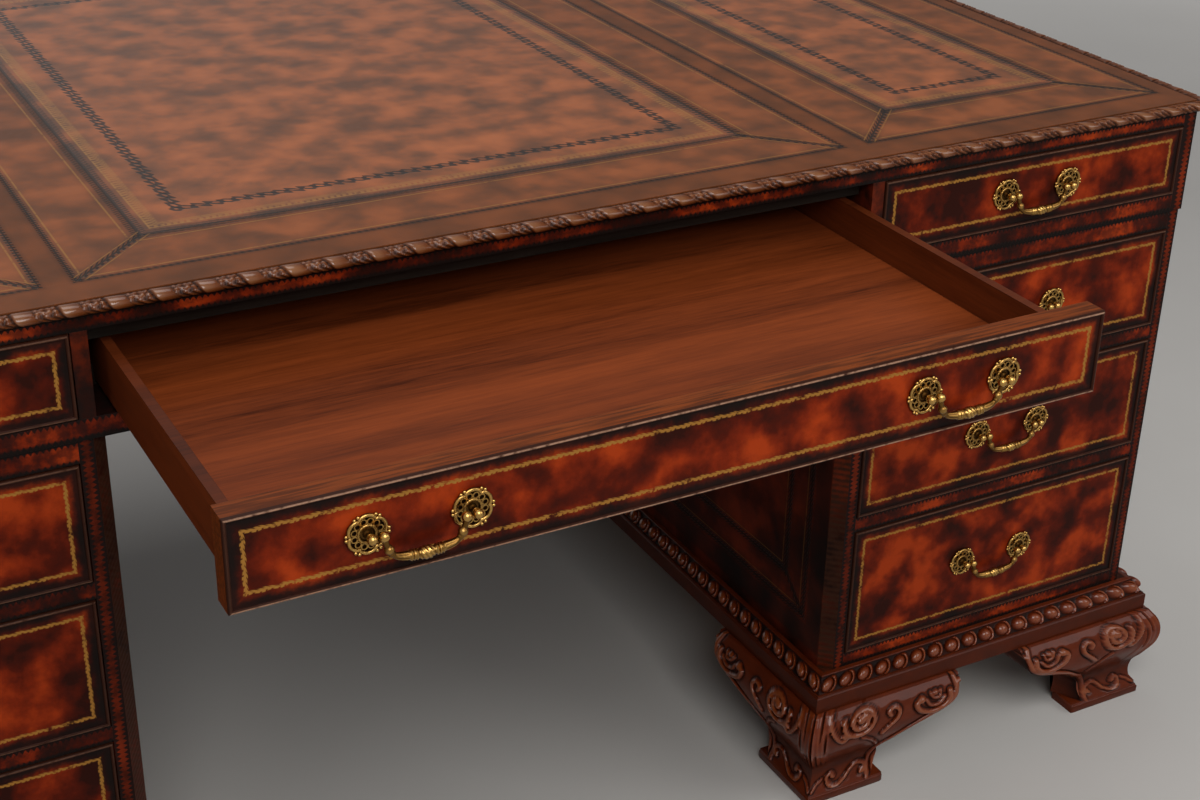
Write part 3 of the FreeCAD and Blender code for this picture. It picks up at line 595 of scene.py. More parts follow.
def rail_finish(name, levels):
    skin = Skin(name, FRONT_TONES, RAIL_PATCH)
    finish = skin.finish
    ahead = finish.step(finish.facing[1] * -1, *SQUARE_ON)
    skin.stain(finish.step(skin.specks, *RAIL_BURNT) * 0.55, BURNT_AND_SHADE)
    tooth_strip(skin, strips(finish, finish.z, levels), finish.x, ahead)
    for bottom, _ in levels:
        # Painted shade: a dark band along the lower edge of each rail.
        skin.stain(finish.band(finish.z, bottom + RAIL_FOOT, *RAIL_SHADE) * ahead * 0.92, BURNT_AND_SHADE)
    highest = levels[0][1]
    # Painted shade: a dark band along the top of the highest rail.
    skin.stain(finish.step(finish.z, highest - RAIL_TOP_SHADE[0], highest - RAIL_TOP_SHADE[1]) * ahead, BURNT_AND_SHADE)
    skin.stain((1 - ahead) * 0.9, BURNT_AND_SHADE)
    return skin.done()


frieze_low, frieze_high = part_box("frieze_front_rails")
dress("frieze_front_rails", rail_finish(
    "frieze_rail_leather", levels_between(frieze_high.z, frieze_low.z, ["right_frieze_drawer"])))
for side in ("right", "left"):
    rails_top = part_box(f"{side}_pedestal_front_rails")[1].z
    plinth_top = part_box(f"{side}_pedestal_plinth")[1].z
    column = [f"{side}_{kind}_drawer" for kind in ("upper", "middle", "lower")]
    dress(f"{side}_pedestal_front_rails", rail_finish(
        f"{side}_rail_leather", levels_between(rails_top, plinth_top, column)))
print("rails tooled; frieze", round((frieze_high.z - frieze_low.z) / MM), "mm high")

# %% [markdown]
# The ends, backs and kneehole sides are panels in a tooled frame: two lines with a mitre at each corner.
# A point on a panel is measured from its two nearest edges. The smaller distance places the frame's
# lines, and where the two distances are equal lies the mitre.

# %% Lines round a panel
PANEL_STITCH = 8.0 * MM
OUTER_LINE = 0.10
INNER_LINE = 0.18
STITCH_PITCH = 6.4 * MM
STITCH_LEAN = 0.8
STITCH_PRESSED = 0.25 * MM
LINE_BESIDE = 0.56


def stitched_line(skin, distance, run, width, where):
    """A dark line with leaning rungs, as a ladder-shaped tool rolls it, in a smoky margin."""
    finish = skin.finish
    aside = abs(distance)
    skin.stain(finish.step(aside, width * 1.6, width * 0.3) * where * 0.32, BURNT_AND_SHADE)
    rungs = finish.marks(run + distance * STITCH_LEAN, STITCH_PITCH, 0.5, 1.0 * MM)
    core = finish.step(aside, width * 0.22, width * 0.10)
    line = finish.most(core, rungs * finish.step(aside, width * 0.66, width * 0.5)) * where
    skin.stain(line * 0.86, BURNT_AND_SHADE)
    skin.press(line, STITCH_PRESSED)


def frame_lines(skin, low, high, axis, where):
    """Two stitched lines round a panel, mitres between them, and a black band outside them."""
    finish = skin.finish
    along = (finish.x, finish.y)[axis]
    beside = finish.inside(along, low[axis], high[axis])
    above = finish.inside(finish.z, low.z, high.z)
    inset = finish.least(beside, above)
    tall = high.z - low.z
    outer, inner = tall * OUTER_LINE, tall * INNER_LINE
    width = min(PANEL_STITCH, tall * 0.03)
    for distance in (outer, inner):
        stitched_line(skin, inset - distance, along + finish.z, width, where)
        skin.gild(finish.band(inset, distance + width * 0.9, 1.3 * MM, 0.7 * MM) * where * 0.25)
    between = finish.band(inset, (outer + inner) / 2, inner - outer, 1.0 * MM)
    stitched_line(skin, beside - above, inset, width * 1.4, where * between)
    beyond = outer * LINE_BESIDE
    skin.stain(finish.band(inset, beyond, beyond, outer * 0.12) * where * 0.6, BURNT_AND_SHADE)


def shown_box(node):
    """The box of a board, less what a plinth hides of it."""
    low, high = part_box(node)
    if "pedestal" in node:
        low.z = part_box(node.split("_")[0] + "_pedestal_plinth")[1].z
    return low, high


print("stitches", STITCH_PITCH / MM, "mm apart")

# %% [markdown]
# A side board shows three things: its panel, the toothed stile at its front edge and the narrow cant
# between them, which carries a rolled pattern. They could be three materials on three sets of faces. One
# finish that asks which way a face looks keeps the board whole. A back has a panel alone.

# %% Framed sides and backs
SIDE_PATCH = 60 * MM
PARTITION_PATCH = 85 * MM
FLAT_ON = (0.85, 0.95)
CANT = 13.0 * MM
CANT_ROLL = 7.0 * MM
CANT_BROWN = (0.036, 0.0120, 0.0055)
CANT_PRESSED = 0.12 * MM
BOARD = 26.5 * MM
STILE_TONE = FRONT_TONES[2][1]


def side_finish(name, node):
    low, high = shown_box(node)
    skin = Skin(name, SIDE_TONES_WITH_SHADE, SIDE_PATCH)
    finish = skin.finish
    panel = finish.step(abs(finish.facing[0]), *FLAT_ON)
    stile = finish.step(abs(finish.facing[1]), *FLAT_ON)
    cant = 1 - finish.most(panel, stile)
    frame_lines(skin, low, high, 1, panel)
    skin.stain(stile * finish.step(skin.specks, 0.35, 0.65) * 0.45, STILE_TONE)
    near, far = sorted((abs(low.x), abs(high.x)))
    edge = strips(finish, abs(finish.x), ((near + CANT, near + BOARD), (far - BOARD, far - CANT)))
    tooth_strip(skin, edge, finish.z, stile)
    rolled = finish.wave(finish.z, CANT_ROLL) * finish.wave(finish.x + finish.y, CANT)
    skin.stain(cant * (finish.step(skin.specks, 0.2, 0.7) + rolled * 0.30), CANT_BROWN)
    skin.press(cant * rolled, CANT_PRESSED)
    return skin.done()


def back_finish(name, node):
    low, high = shown_box(node)
    skin = Skin(name, SIDE_TONES_WITH_SHADE, SIDE_PATCH)
    frame_lines(skin, low, high, 0, skin.finish.step(skin.finish.facing[1], *FLAT_ON))
    return skin.done()


for board in ("frieze_end_panels", "right_pedestal_sides", "left_pedestal_sides"):
    dress(board, side_finish(board + "_leather", board))
for board in ("frieze_back_panel", "right_pedestal_back", "left_pedestal_back"):
    dress(board, back_finish(board + "_leather", board))
partition_skin = Skin("partition_leather", SIDE_TONES_WITH_SHADE, PARTITION_PATCH)
partition_skin.stain(partition_skin.finish.step(partition_skin.specks, 0.2, 0.7) * 0.95, BURNT_AND_SHADE)
dress("frieze_partitions", partition_skin.done())
print("panels framed on six boards")

# %% [markdown]
# The writing top is three leather panels side by side, each with a border mitred round a lighter field,
# and plain leather between them and the edge. Borders, fields and margins are separate skins on the
# packed model. Folding the two side panels onto one another lets one finish measure its way over all of
# them.

# %% The layout of the writing top
CENTRE_PANEL = 778 * MM
PANEL_STRIP = 31 * MM
panels_low, panels_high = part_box("top_leather_borders")
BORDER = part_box("top_leather_fields")[0].y - panels_low.y


def panel_distances(finish):
    """How far a point of the top lies inside the nearest side and the nearest end of its panel."""
    middle_half = CENTRE_PANEL / 2
    side_half = (panels_high.x - middle_half - PANEL_STRIP) / 2
    across = abs(finish.x)
    in_side = finish.step(across, middle_half + PANEL_STRIP * 0.49, middle_half + PANEL_STRIP * 0.51)
    middle_beside = middle_half - across
    side_beside = side_half - abs(across - (panels_high.x - side_half))
    deep = (panels_high.y - panels_low.y) / 2 - abs(finish.y - (panels_low.y + panels_high.y) / 2)
    return middle_beside + in_side * (side_beside - middle_beside), deep


print("borders", round(BORDER / MM), "mm wide")

# %% [markdown]
# Rolled lines part the top: a fine ladder round each panel, a wider one where border and field meet, with
# gilt lines and a row of gilt ferns beside it, a ladder along each mitre, and a black vine of two winding
# stems. Each is a band or a row of marks at its own distance from the panel's edge.

# %% The tooling of the writing top
TOP_TONES = ((0.34, (0.115, 0.040, 0.016)), (0.46, (0.195, 0.061, 0.021)),
             (0.56, (0.290, 0.083, 0.026)), (0.68, (0.380, 0.108, 0.033)))
TOP_PLAIN = (0.090, 0.029, 0.010)
TOP_PATCH = 46 * MM
STITCH_WIDTH = 5.0 * MM
BAND_STITCH = 12 * MM
GILT_LINE = (1.8 * MM, 0.8 * MM)
MITRE_GILT = 8 * MM
FERN_INSET = 17 * MM
FERN_HALF = 7 * MM
FERN_PITCH = 6 * MM
ROPE_INSET = 125 * MM
ROPE_WIDTH = 14 * MM
ROPE_TURN = 26 * MM
ROPE_PRESSED = 0.3 * MM
SEAM = 1 * MM
POLISH_STEPS = (0.06, 0.08, 0.16)


def top_finish(name):
    skin = Skin(name, TOP_TONES, TOP_PATCH, gloss=0.33)
    finish = skin.finish
    beside, above = panel_distances(finish)
    inset = finish.least(beside, above)
    run = finish.x + finish.y
    skin.stain(finish.step(inset, SEAM, -SEAM) * 0.7, TOP_PLAIN)
    in_border = finish.band(inset, BORDER / 2, BORDER, 2 * SEAM)
    skin.stain(in_border * 0.35, TOP_PLAIN)
    stitched_line(skin, inset, run, STITCH_WIDTH, 1.0)
    skin.gild(finish.band(inset, STITCH_WIDTH * 1.3, *GILT_LINE) * 0.5)
    stitched_line(skin, inset - BORDER, run, BAND_STITCH, 1.0)
    for side in (-1, 1):
        skin.gild(finish.band(inset, BORDER + side * BAND_STITCH, *GILT_LINE) * 0.5)
    from_spine = abs(inset - BORDER - FERN_INSET)
    ferns = finish.marks(run + from_spine * 1.2, FERN_PITCH, 0.62, 1.6 * MM)
    skin.gild(finish.step(from_spine, FERN_HALF, FERN_HALF * 0.6) * ferns * 0.5)
    skew = beside - above
    stitched_line(skin, skew, inset, STITCH_WIDTH * 2.0, in_border)
    for side in (-1, 1):
        skin.gild(finish.band(skew, side * MITRE_GILT, 2.0 * MM, 1.0 * MM) * in_border * 0.45)
    winding = finish.wave(run, ROPE_TURN) * (ROPE_WIDTH * 0.3)
    stem = ROPE_WIDTH * 0.36 + finish.wave(run, ROPE_TURN / 2.6) * (ROPE_WIDTH * 0.16)
    for side in (-1, 1):
        vine = finish.band(inset + winding * side, ROPE_INSET, stem, 1.6 * MM)
        skin.stain(vine * 0.88, BURNT_AND_SHADE)
        skin.press(vine, ROPE_PRESSED)
    margin, panel, field = POLISH_STEPS
    polish = margin + finish.step(inset, -SEAM, SEAM) * panel
    polish = polish + finish.step(inset, BORDER - SEAM, BORDER + SEAM) * field
    return skin.done(edge=0.4 * MM, sheen=0.06, coat=polish)


top_leather = top_finish("writing_leather")
for skin_node in ("top_leather_borders", "top_leather_fields", "top_leather_margins"):
    dress(skin_node, top_leather)
print("vine", round(ROPE_INSET / MM), "mm from the edge of each panel")

# %% [markdown]
# Inside, the drawers are plain polished mahogany. Wood is noise that is stretched a long way in one
# direction. The bottom's grain runs across the drawer and the sides' grain from front to back, so the finish
# asks which way a face looks before it chooses its direction. The faces that look sideways, and a band along
# the upper rims of the boxes, are darkened as painted shade.

# %% Mahogany boards and carcass wood
GRAIN_DEEP = (95.0, 5.0, 95.0)
GRAIN_BUMP = 0.12 * MM
SIDE_SHADE = 0.35
RIM_SHADE = 0.6
RIM_BAND = (2.0 * MM, 1.0 * MM)


def streaks(finish, stretch):
    """Broad bands, a finer figure and fibres, all along the grain."""
    place = finish.stretched(stretch)
    bands = finish.noise(place, 0.17, 2.0, 0.5, 0.5)
    figure = finish.noise(place, 0.5, 4.0, 0.55, 0.7)
    fibres = finish.noise(place, 4.5, 5.0, 0.65)
    return bands * 0.45 + figure * 0.25 + fibres * 0.30


def board_finish(name, dark, light, gloss, coat, tops=()):
    finish = Finish(name)
    across = streaks(finish, GRAIN_ACROSS)
    sideways = finish.step(abs(finish.facing[0]), *PARTLY_ON)
    grain = across + sideways * (streaks(finish, GRAIN_DEEP) - across)
    colour = finish.ramp(grain, ((0.37, dark), (0.62, light)))
    colour = finish.mix(finish.step(grain, 0.44, 0.36) * 0.35, colour, tuple(part * 0.4 for part in dark))
    # Painted shade: a band along each box's upper rim, and every face that looks sideways, are darkened.
    rim_shades = [finish.band(finish.z, top, *RIM_BAND) * RIM_SHADE for top in tops]
    shade = reduce(finish.most, rim_shades, sideways * SIDE_SHADE)
    colour = finish.mix(shade, colour, tuple(part * 0.5 for part in dark))
    return finish.surface(colour, gloss + grain * 0.25, grain * GRAIN_BUMP,
                          {"Specular IOR Level": 0.09, "Coat Weight": coat, "Coat Roughness": 0.2}, 0.6 * MM)


drawer_tops = sorted({round(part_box(drawer + "_box")[1].z, 5) for drawer in DRAWERS})
drawer_wood = board_finish("drawer_mahogany", (0.070, 0.0130, 0.0032), (0.225, 0.044, 0.0090), 0.34, 0.02,
                           drawer_tops)
carcass_wood = board_finish("carcass_wood", (0.19, 0.095, 0.04), (0.36, 0.20, 0.09), 0.45, 0.0)
stained_wood = board_finish("black_stained_wood", (0.010, 0.007, 0.005), (0.024, 0.017, 0.013), 0.45, 0.0)
for rails in ("frieze_top_rails", "frieze_runners"):
    dress(rails, stained_wood)
for drawer in DRAWERS:
    dress(drawer + "_box", drawer_wood)
for node in nodes:
    if node.endswith("pedestal_runners") or node == "top_board":
        dress(node, carcass_wood)
print(len(DRAWERS), "drawer boxes in mahogany")

# %% [markdown]
# The mouldings, feet and pulls are carved or cast, and darker in the hollows: on the brass that is patina,
# and on the wood it is partly dirt and partly painted shade, while the wood's paler crests are partly wear
# and partly painted highlight.
# That could be painted on by hand. But their meshes carry the depth of every point, and a finish that
# reads it suits every piece that is carved, with a clear polish that is strongest on the crests.

# %% Carved mahogany and cast brass
HOLLOW_DIRT_AND_SHADE = (0.012, 0.0052, 0.0042)
CARVED_WOOD = (0.125, 0.0190, 0.0040)
CREST_WEAR_AND_HIGHLIGHT = (0.200, 0.0460, 0.0120)
HANDLED_WOOD = (0.125, 0.0330, 0.0080)
NOSING_CREST_WEAR_AND_HIGHLIGHT = (0.215, 0.0850, 0.0320)
# Patina in the brass hollows, and the black of the painted-shade disc behind the piercings.
BRASS_PATINA_AND_SHADE = (0.018, 0.008, 0.003)
CAST_BRASS = (0.180, 0.088, 0.021)
RUBBED_BRASS = (0.500, 0.295, 0.085)
CARVED_FIGURE = (30.0, 30.0, 60.0)
DUST = 260.0
DUST_BUMP = 0.08 * MM
TARNISH = 240.0
TARNISH_BUMP = 0.10 * MM


def carved_depth(finish):
    return finish.node("ShaderNodeAttribute", {"attribute_name": "depth"}, output="Fac")


def carved_finish(name, carved, crest_colour, polish):
    finish = Finish(name)
    depth = carved_depth(finish)
    figure = finish.noise(finish.stretched(CARVED_FIGURE), 1.0, 4.0, 0.6, 0.4)
    dust = finish.noise(finish.place, DUST, 3.0, 0.6)
    # Hollows darker and crests paler: partly dirt and wear, partly painted shade and painted highlight.
    colour = finish.ramp(depth + (figure - 0.5) * 0.5, (
        (0.02, HOLLOW_DIRT_AND_SHADE), (0.42, tuple(part * 0.55 for part in carved)), (0.72, carved), (1.0, crest_colour)))
    return finish.surface(colour, 0.42 - depth * 0.14 + dust * 0.12, dust * DUST_BUMP,
                          {"Specular IOR Level": 0.05, "Coat Weight": 0.03 + depth * depth * polish,
                           "Coat Roughness": 0.06})


def brass_finish(name):
    finish = Finish(name)
    depth = carved_depth(finish)
    tarnish = finish.noise(finish.place, TARNISH, 4.0, 0.65)
    colour = finish.ramp(depth + (tarnish - 0.5) * 0.55, (
        (0.05, BRASS_PATINA_AND_SHADE), (0.55, CAST_BRASS), (1.0, RUBBED_BRASS)))
    return finish.surface(colour, 0.38 - depth * 0.18 + tarnish * 0.10, tarnish * TARNISH_BUMP,
                          {"Metallic": 1.0})


carved_wood = carved_finish("carved_mahogany", CARVED_WOOD, CREST_WEAR_AND_HIGHLIGHT, 0.80)
handled_wood = carved_finish("handled_mahogany", HANDLED_WOOD, NOSING_CREST_WEAR_AND_HIGHLIGHT, 0.97)
brass = brass_finish("antique_brass")
print("finishes", carved_wood.name, handled_wood.name, brass.name)

# %% [markdown]
# A moulding that goes round the desk is one section swept along four sides and mitred at the corners. An
# Array modifier could repeat a carved block, but blocks leave seams and don't come out even at the
# corners. Here each side is divided into a whole number of units, and a formula raises the section's face
# at every point.

# %% A carved moulding round a rectangle
MITRE_FADE = 5 * MM
BACKING_DEPTH = 0.5


def carved_ring(low, high, section, backing, motif, pitch, columns):
    """A closed moulding round a plan rectangle. Section and backing are offsets outwards with heights."""
    section, backing = np.asarray(section), np.asarray(backing)
    slope = np.gradient(section, axis=0)
    slope /= np.linalg.norm(slope, axis=1)[:, None]
    across = np.linspace(0, 1, len(section))
    corners = np.array([(low.x, low.y), (high.x, low.y), (high.x, high.y), (low.x, high.y)])
    spread = np.array([(-1, -1), (1, -1), (1, 1), (-1, 1)])
    rows, depths = [], []
    for side in range(4):
        start, end = corners[side], corners[(side + 1) % 4]
        length = np.linalg.norm(end - start)
        units = max(round(length / pitch), 1)
        share = np.arange(units * columns) / (units * columns)
        fade = np.minimum(np.minimum(share, 1 - share) * length / MITRE_FADE, 1)
        rise, depth = motif(share[:, None] * units, across[None, :])
        rise = rise * fade[:, None]
        offset = np.hstack([section[:, 0] - slope[:, 1] * rise, np.tile(backing[:, 0], (len(share), 1))])
        height = np.hstack([section[:, 1] + slope[:, 0] * rise, np.tile(backing[:, 1], (len(share), 1))])
        first = start + spread[side] * offset[..., None]
        last = end + spread[(side + 1) % 4] * offset[..., None]
        plan = first + (last - first) * share[:, None, None]
        rows.append(np.dstack([plan, height]))
        depths.append(np.hstack([depth, np.full((len(share), len(backing)), BACKING_DEPTH)]))
    points = np.concatenate(rows)
    shape = Shape()
    shape.add(points, net(*points.shape[:2], True, True), np.concatenate(depths))
    return shape


print("carving fades out", round(MITRE_FADE / MM), "mm before a mitre")

# %% [markdown]
# The nosing round the top is a small roll, carved with a ribbon that winds round a string of leaves. Seen
# from the front, each turn is a smooth leaning lozenge behind a sharp cut, then a leaf under two rows of
# berries. Sculpting each turn by hand would never repeat as evenly as a formula does. Leaning is a shift
# of the pattern that grows from the top of the section to its bottom.

# %% Ribbon and leaf
TURN = 2 * math.pi
NOSING_RISE = 2.1 * MM
RIBBON_LEAN = 0.36
RIBBON_SHARE = 0.46
RIBBON_GROOVE = 0.055
RIBBON_CREST = 0.95
RIBBON_FALL = 0.45
VEIN_LEVEL = 0.42
VEIN_RISE = 0.36
LEAF_SPINE = 0.62
BERRIES = 4
BERRY_ROWS = (0.20, 0.42)
BERRY_LONG = 0.12
BERRY_TALL = 0.10
BERRY_CREST = 0.95


def swell(value):
    """A half-round swelling over -1 to 1."""
    return np.sqrt(np.clip(1 - value ** 2, 0, 1))


def ribbon_and_leaf(unit, across):
    """Rise and depth of the nosing's carving, over units along it and a share of its section."""
    phase = (unit - RIBBON_LEAN * across) % 1.0
    groove = np.clip(np.minimum(phase, 1 - phase) / RIBBON_GROOVE, 0, 1)
    ribbon = RIBBON_CREST - RIBBON_FALL * (phase / RIBBON_SHARE) ** 2
    leaf = (phase - RIBBON_SHARE) / (1 - RIBBON_SHARE)
    veins = VEIN_LEVEL + VEIN_RISE * np.cos(TURN * (2.5 * leaf - 2.2 * np.abs(across - LEAF_SPINE)))
    foliage = veins * swell((leaf - 0.5) * 2.0) ** 0.5
    for row in BERRY_ROWS:
        for berry in range(BERRIES):
            aside = (leaf - (berry + 0.6) / (BERRIES + 0.2)) / BERRY_LONG
            foliage = np.maximum(foliage, swell(np.hypot(aside, (across - row) / BERRY_TALL)) * BERRY_CREST)
    rise = np.where(phase < RIBBON_SHARE, ribbon, foliage) * groove
    rise = rise * np.sin(math.pi * across) ** 0.45
    return rise * NOSING_RISE, np.clip(rise ** 0.8, 0, 1)


print("ribbon over", RIBBON_SHARE, "of each turn")

# %% The nosing
NOSING_PITCH = 38 * MM
NOSING_COLUMNS = 32
NOSING_ROWS = 17
ROLL_FROM = 128
ROLL_TO = -52
ROLL_RADIUS = 0.46
ROLL_OUT = 0.44
ROLL_UP = 0.47
LEATHER_LIP = 1.2 * MM

margin_low, margin_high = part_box("top_leather_margins")
nosing_low, nosing_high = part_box("top_edge_moulding")
nosing_wide = nosing_high.x - margin_high.x
nosing_tall = nosing_high.z - nosing_low.z
roll = np.radians(np.linspace(ROLL_FROM, ROLL_TO, NOSING_ROWS))
nosing_section = np.stack([nosing_wide * (ROLL_OUT + ROLL_RADIUS * np.cos(roll)),
                           nosing_low.z + nosing_tall * (ROLL_UP + ROLL_RADIUS * np.sin(roll))], axis=1)
nosing_backing = [(nosing_wide * 0.6, nosing_low.z), (0.0, nosing_low.z), (0.0, nosing_high.z - LEATHER_LIP)]
nosing = carved_ring(margin_low, margin_high, nosing_section, nosing_backing, ribbon_and_leaf,
                     NOSING_PITCH, NOSING_COLUMNS)
nosing.piece("carved_nosing", handled_wood, "case", "mahogany", "top_edge_moulding")
print("nosing of", nosing.count, "points")

# %% [markdown]
# Round each pedestal runs a plinth: a plain band with soft edges, and above it a row of beads in a
# hollow, each with a crescent of leaf at its right. Beads could be separate balls set into a strip, but
# carving raises them from one piece of wood, and the same swept section with another motif does that.

# %% Bead and crescent
BAND_REACH = 20 * MM
BAND_TOP = 22 * MM
BAND_DEPTH = 0.36
BEADING_TOP = 40.5 * MM
BEADING = ((6.2 * MM, BEADING_TOP - 1.8 * MM), (BAND_REACH - 4.0 * MM, BAND_TOP + 1.4 * MM))
BEADING_FACE = math.dist(*BEADING)
BEAD_PITCH = 24 * MM
BEAD_RADIUS = 7.4 * MM
BEAD_STRETCH = 1.14
BEAD_SHARE = 0.40
BEAD_LEVEL = 0.25
CRESCENT_RADIUS = 9.6 * MM
CRESCENT_HALF = 2.1 * MM
CRESCENT_RISE = 3.8 * MM


def bead_and_crescent(unit, across):
    """Rise and depth of the beading: a stretched bead in each unit, and a crescent at its right."""
    right = (unit % 1.0 - BEAD_SHARE) * BEAD_PITCH / BEAD_STRETCH
    up = (0.5 - across) * BEADING_FACE
    far = np.hypot(right, up)
    bead = np.sqrt(np.clip(BEAD_RADIUS ** 2 - far ** 2, 0, None))
    beside = np.clip(right / (far + 0.1 * MM) * 1.6 + 0.35, 0, 1)
    crescent = CRESCENT_RISE * np.clip(1 - ((far - CRESCENT_RADIUS) / CRESCENT_HALF) ** 2, 0, 1) * beside
    window = np.clip(np.sin(math.pi * across) * 4, 0, 1)
    on_bead = np.where(bead > 0, BEAD_LEVEL + (1 - BEAD_LEVEL) * bead / BEAD_RADIUS, 0)
    exposed = np.maximum(on_bead, crescent / CRESCENT_RISE)
    return np.maximum(bead, crescent) * window, np.clip(exposed * window, 0.05, 1)


def plain_face(unit, across):
    """Rise and depth of a face without carving."""
    flat = np.zeros(np.broadcast_shapes(unit.shape, across.shape))
    return flat, flat + BAND_DEPTH


print("beads", round(BEAD_PITCH / MM), "mm apart on a face", round(BEADING_FACE / MM), "mm high")

# %% The plinths
BEAD_COLUMNS = 30
BEAD_ROWS = 18
BAND = ((BAND_REACH - 3.4 * MM, BAND_TOP + 1.6 * MM), (BAND_REACH - 2.2 * MM, BAND_TOP + 1.1 * MM),
        (BAND_REACH - 1.9 * MM, BAND_TOP), (BAND_REACH - 0.9 * MM, BAND_TOP - 0.5 * MM),
        (BAND_REACH, BAND_TOP - 1.6 * MM), (BAND_REACH, 1.4 * MM), (BAND_REACH - 1.4 * MM, 0.0))
BAND_BACK = ((-1.0 * MM, 0.0), (-1.0 * MM, BAND_TOP + 1.6 * MM))
BEADING_BACK = ((-1.0 * MM, BAND_TOP + 1.2 * MM), (-1.0 * MM, BEADING_TOP),
                (5.4 * MM, BEADING_TOP), (6.0 * MM, BEADING_TOP - 0.6 * MM))


def raised(outline, base):
    """An outline of offsets and heights, set on its base."""
    return [(reach, base + height) for reach, height in outline]


for side in ("right", "left"):
    low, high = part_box(f"{side}_pedestal_sides")
    foot_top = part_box(f"{side}_pedestal_plinth")[0].z
    band = carved_ring(low, high, raised(BAND, foot_top), raised(BAND_BACK, foot_top), plain_face,
                       math.inf, 1)
    band.piece(f"{side}_plinth_band", carved_wood, "case", "mahogany", f"{side}_pedestal_plinth", smooth=30)
    beading = np.linspace(*raised(BEADING, foot_top), BEAD_ROWS)
    beads = carved_ring(low, high, beading, raised(BEADING_BACK, foot_top), bead_and_crescent,
                        BEAD_PITCH, BEAD_COLUMNS)
    beads.piece(f"{side}_plinth_beading", carved_wood, "case", "mahogany", None)
    print(side, "plinth with beading of", beads.count, "points")

# %% [markdown]
# The feet take the most skill: each is two ogee wings, mitred at the corner, sawn to a scroll below and
# carved. Sculpting by hand would follow no rule that can be read later. So the face of a wing is a grid,
# raised along lines that are drawn on it as the carver draws them: spirals for the volutes, a rim, buds,
# and flutes. First come the lines themselves, and the distance of a grid's points from them.

# %% Lines for carving
def smooth_line(points, count):
    """A smooth line through a few points, evenly shared out between them."""
    points = np.asarray(points, float)
    padded = np.vstack([2 * points[0] - points[1], points, 2 * points[-1] - points[-2]])
    place = np.linspace(0, len(points) - 1, count)
    index = np.minimum(place.astype(int), len(points) - 2)
    part = (place - index)[:, None]
    before, start, end, after = (padded[index + shift] for shift in range(4))
    return 0.5 * (2 * start + (end - before) * part + (2 * before - 5 * start + 4 * end - after) * part ** 2
                  + (3 * start - before - 3 * end + after) * part ** 3)


def volute(centre, outer, inner, start, turns, count=110):
    """A spiral that closes in on its eye."""
    share = np.linspace(0, 1, count)
    angle = np.radians(start) + TURN * turns * share
    radius = outer * (inner / outer) ** share
    return np.stack([centre[0] + radius * np.cos(angle), centre[1] + radius * np.sin(angle)], axis=1)


def run_along(line):
    """How far along a line each of its points lies."""
    return np.concatenate([[0], np.cumsum(np.linalg.norm(np.diff(line, axis=0), axis=1))])


def gap_to(line, along, height):
    """Distance of every point of a grid from a line on it."""
    gap = np.full(along.shape, np.inf)
    for x, z in line:
        gap = np.minimum(gap, np.hypot(along - x, height - z))
    return gap


main_volute = volute((58.5, 104.0), 21.0, 6.5, 165, 1.75)
print("the main volute is", round(run_along(main_volute)[-1]), "mm long")

# %% [markdown]
# Two outlines shape a wing before it is carved: the ogee of its section and the scroll that the saw cuts
# below. Two curve objects could hold them. Here they are shares of the wing's length and height, joined by
# a smooth line, because shares follow the foot's size.

# %% The outlines of a wing
WING = 179 * MM
BULGE = 37 * MM
FOOT_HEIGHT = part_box("right_pedestal_plinth")[0].z
OGEE_STEPS = 60
LEG_COLUMNS = 44
SCROLL_COLUMNS = 80
OGEE_SHARES = ((0.66, 0.096), (0.47, 0.19), (0.43, 0.30), (0.51, 0.40), (0.70, 0.50),
               (0.93, 0.64), (1.0, 0.78), (0.90, 0.90), (0.65, 1.0))
SCROLL_SHARES = ((0.43, 0.096), (0.42, 0.20), (0.43, 0.30), (0.48, 0.39), (0.565, 0.47),
                 (0.67, 0.575), (0.78, 0.65), (0.895, 0.715), (0.965, 0.80), (0.99, 0.92))

ogee = smooth_line(OGEE_SHARES, OGEE_STEPS) * (BULGE, FOOT_HEIGHT)
ogee_run = run_along(ogee)
scroll = smooth_line(SCROLL_SHARES, SCROLL_COLUMNS) * (WING, FOOT_HEIGHT)
leg_line = np.stack([np.linspace(0, scroll[0][0], LEG_COLUMNS, endpoint=False),
                     np.full(LEG_COLUMNS, scroll[0][1])], axis=1)
under_line = np.vstack([leg_line, scroll])


def climb_to(height):
    """How far up the curved face of a wing a height lies, measured over the surface."""
    return np.interp(height, ogee[:, 1], ogee_run)


print("a wing's face is", round(ogee_run[-1] / MM), "mm high over its curve")

# %% [markdown]
# The carver leaves half-round ridges standing along the lines, with round eyes in the scrolls, a rim along
# the sawn edge and flutes beside the corner. Beside each ridge the ground is cut a little deeper and
# coloured darker, partly as dirt and partly as painted shade, and the neck of the wing is darkened as
# painted shade. A drawn line has its points, its number of steps, its width and its rise, and an eye its
# place, radius and rise, all in millimetres along the wing and up its face.

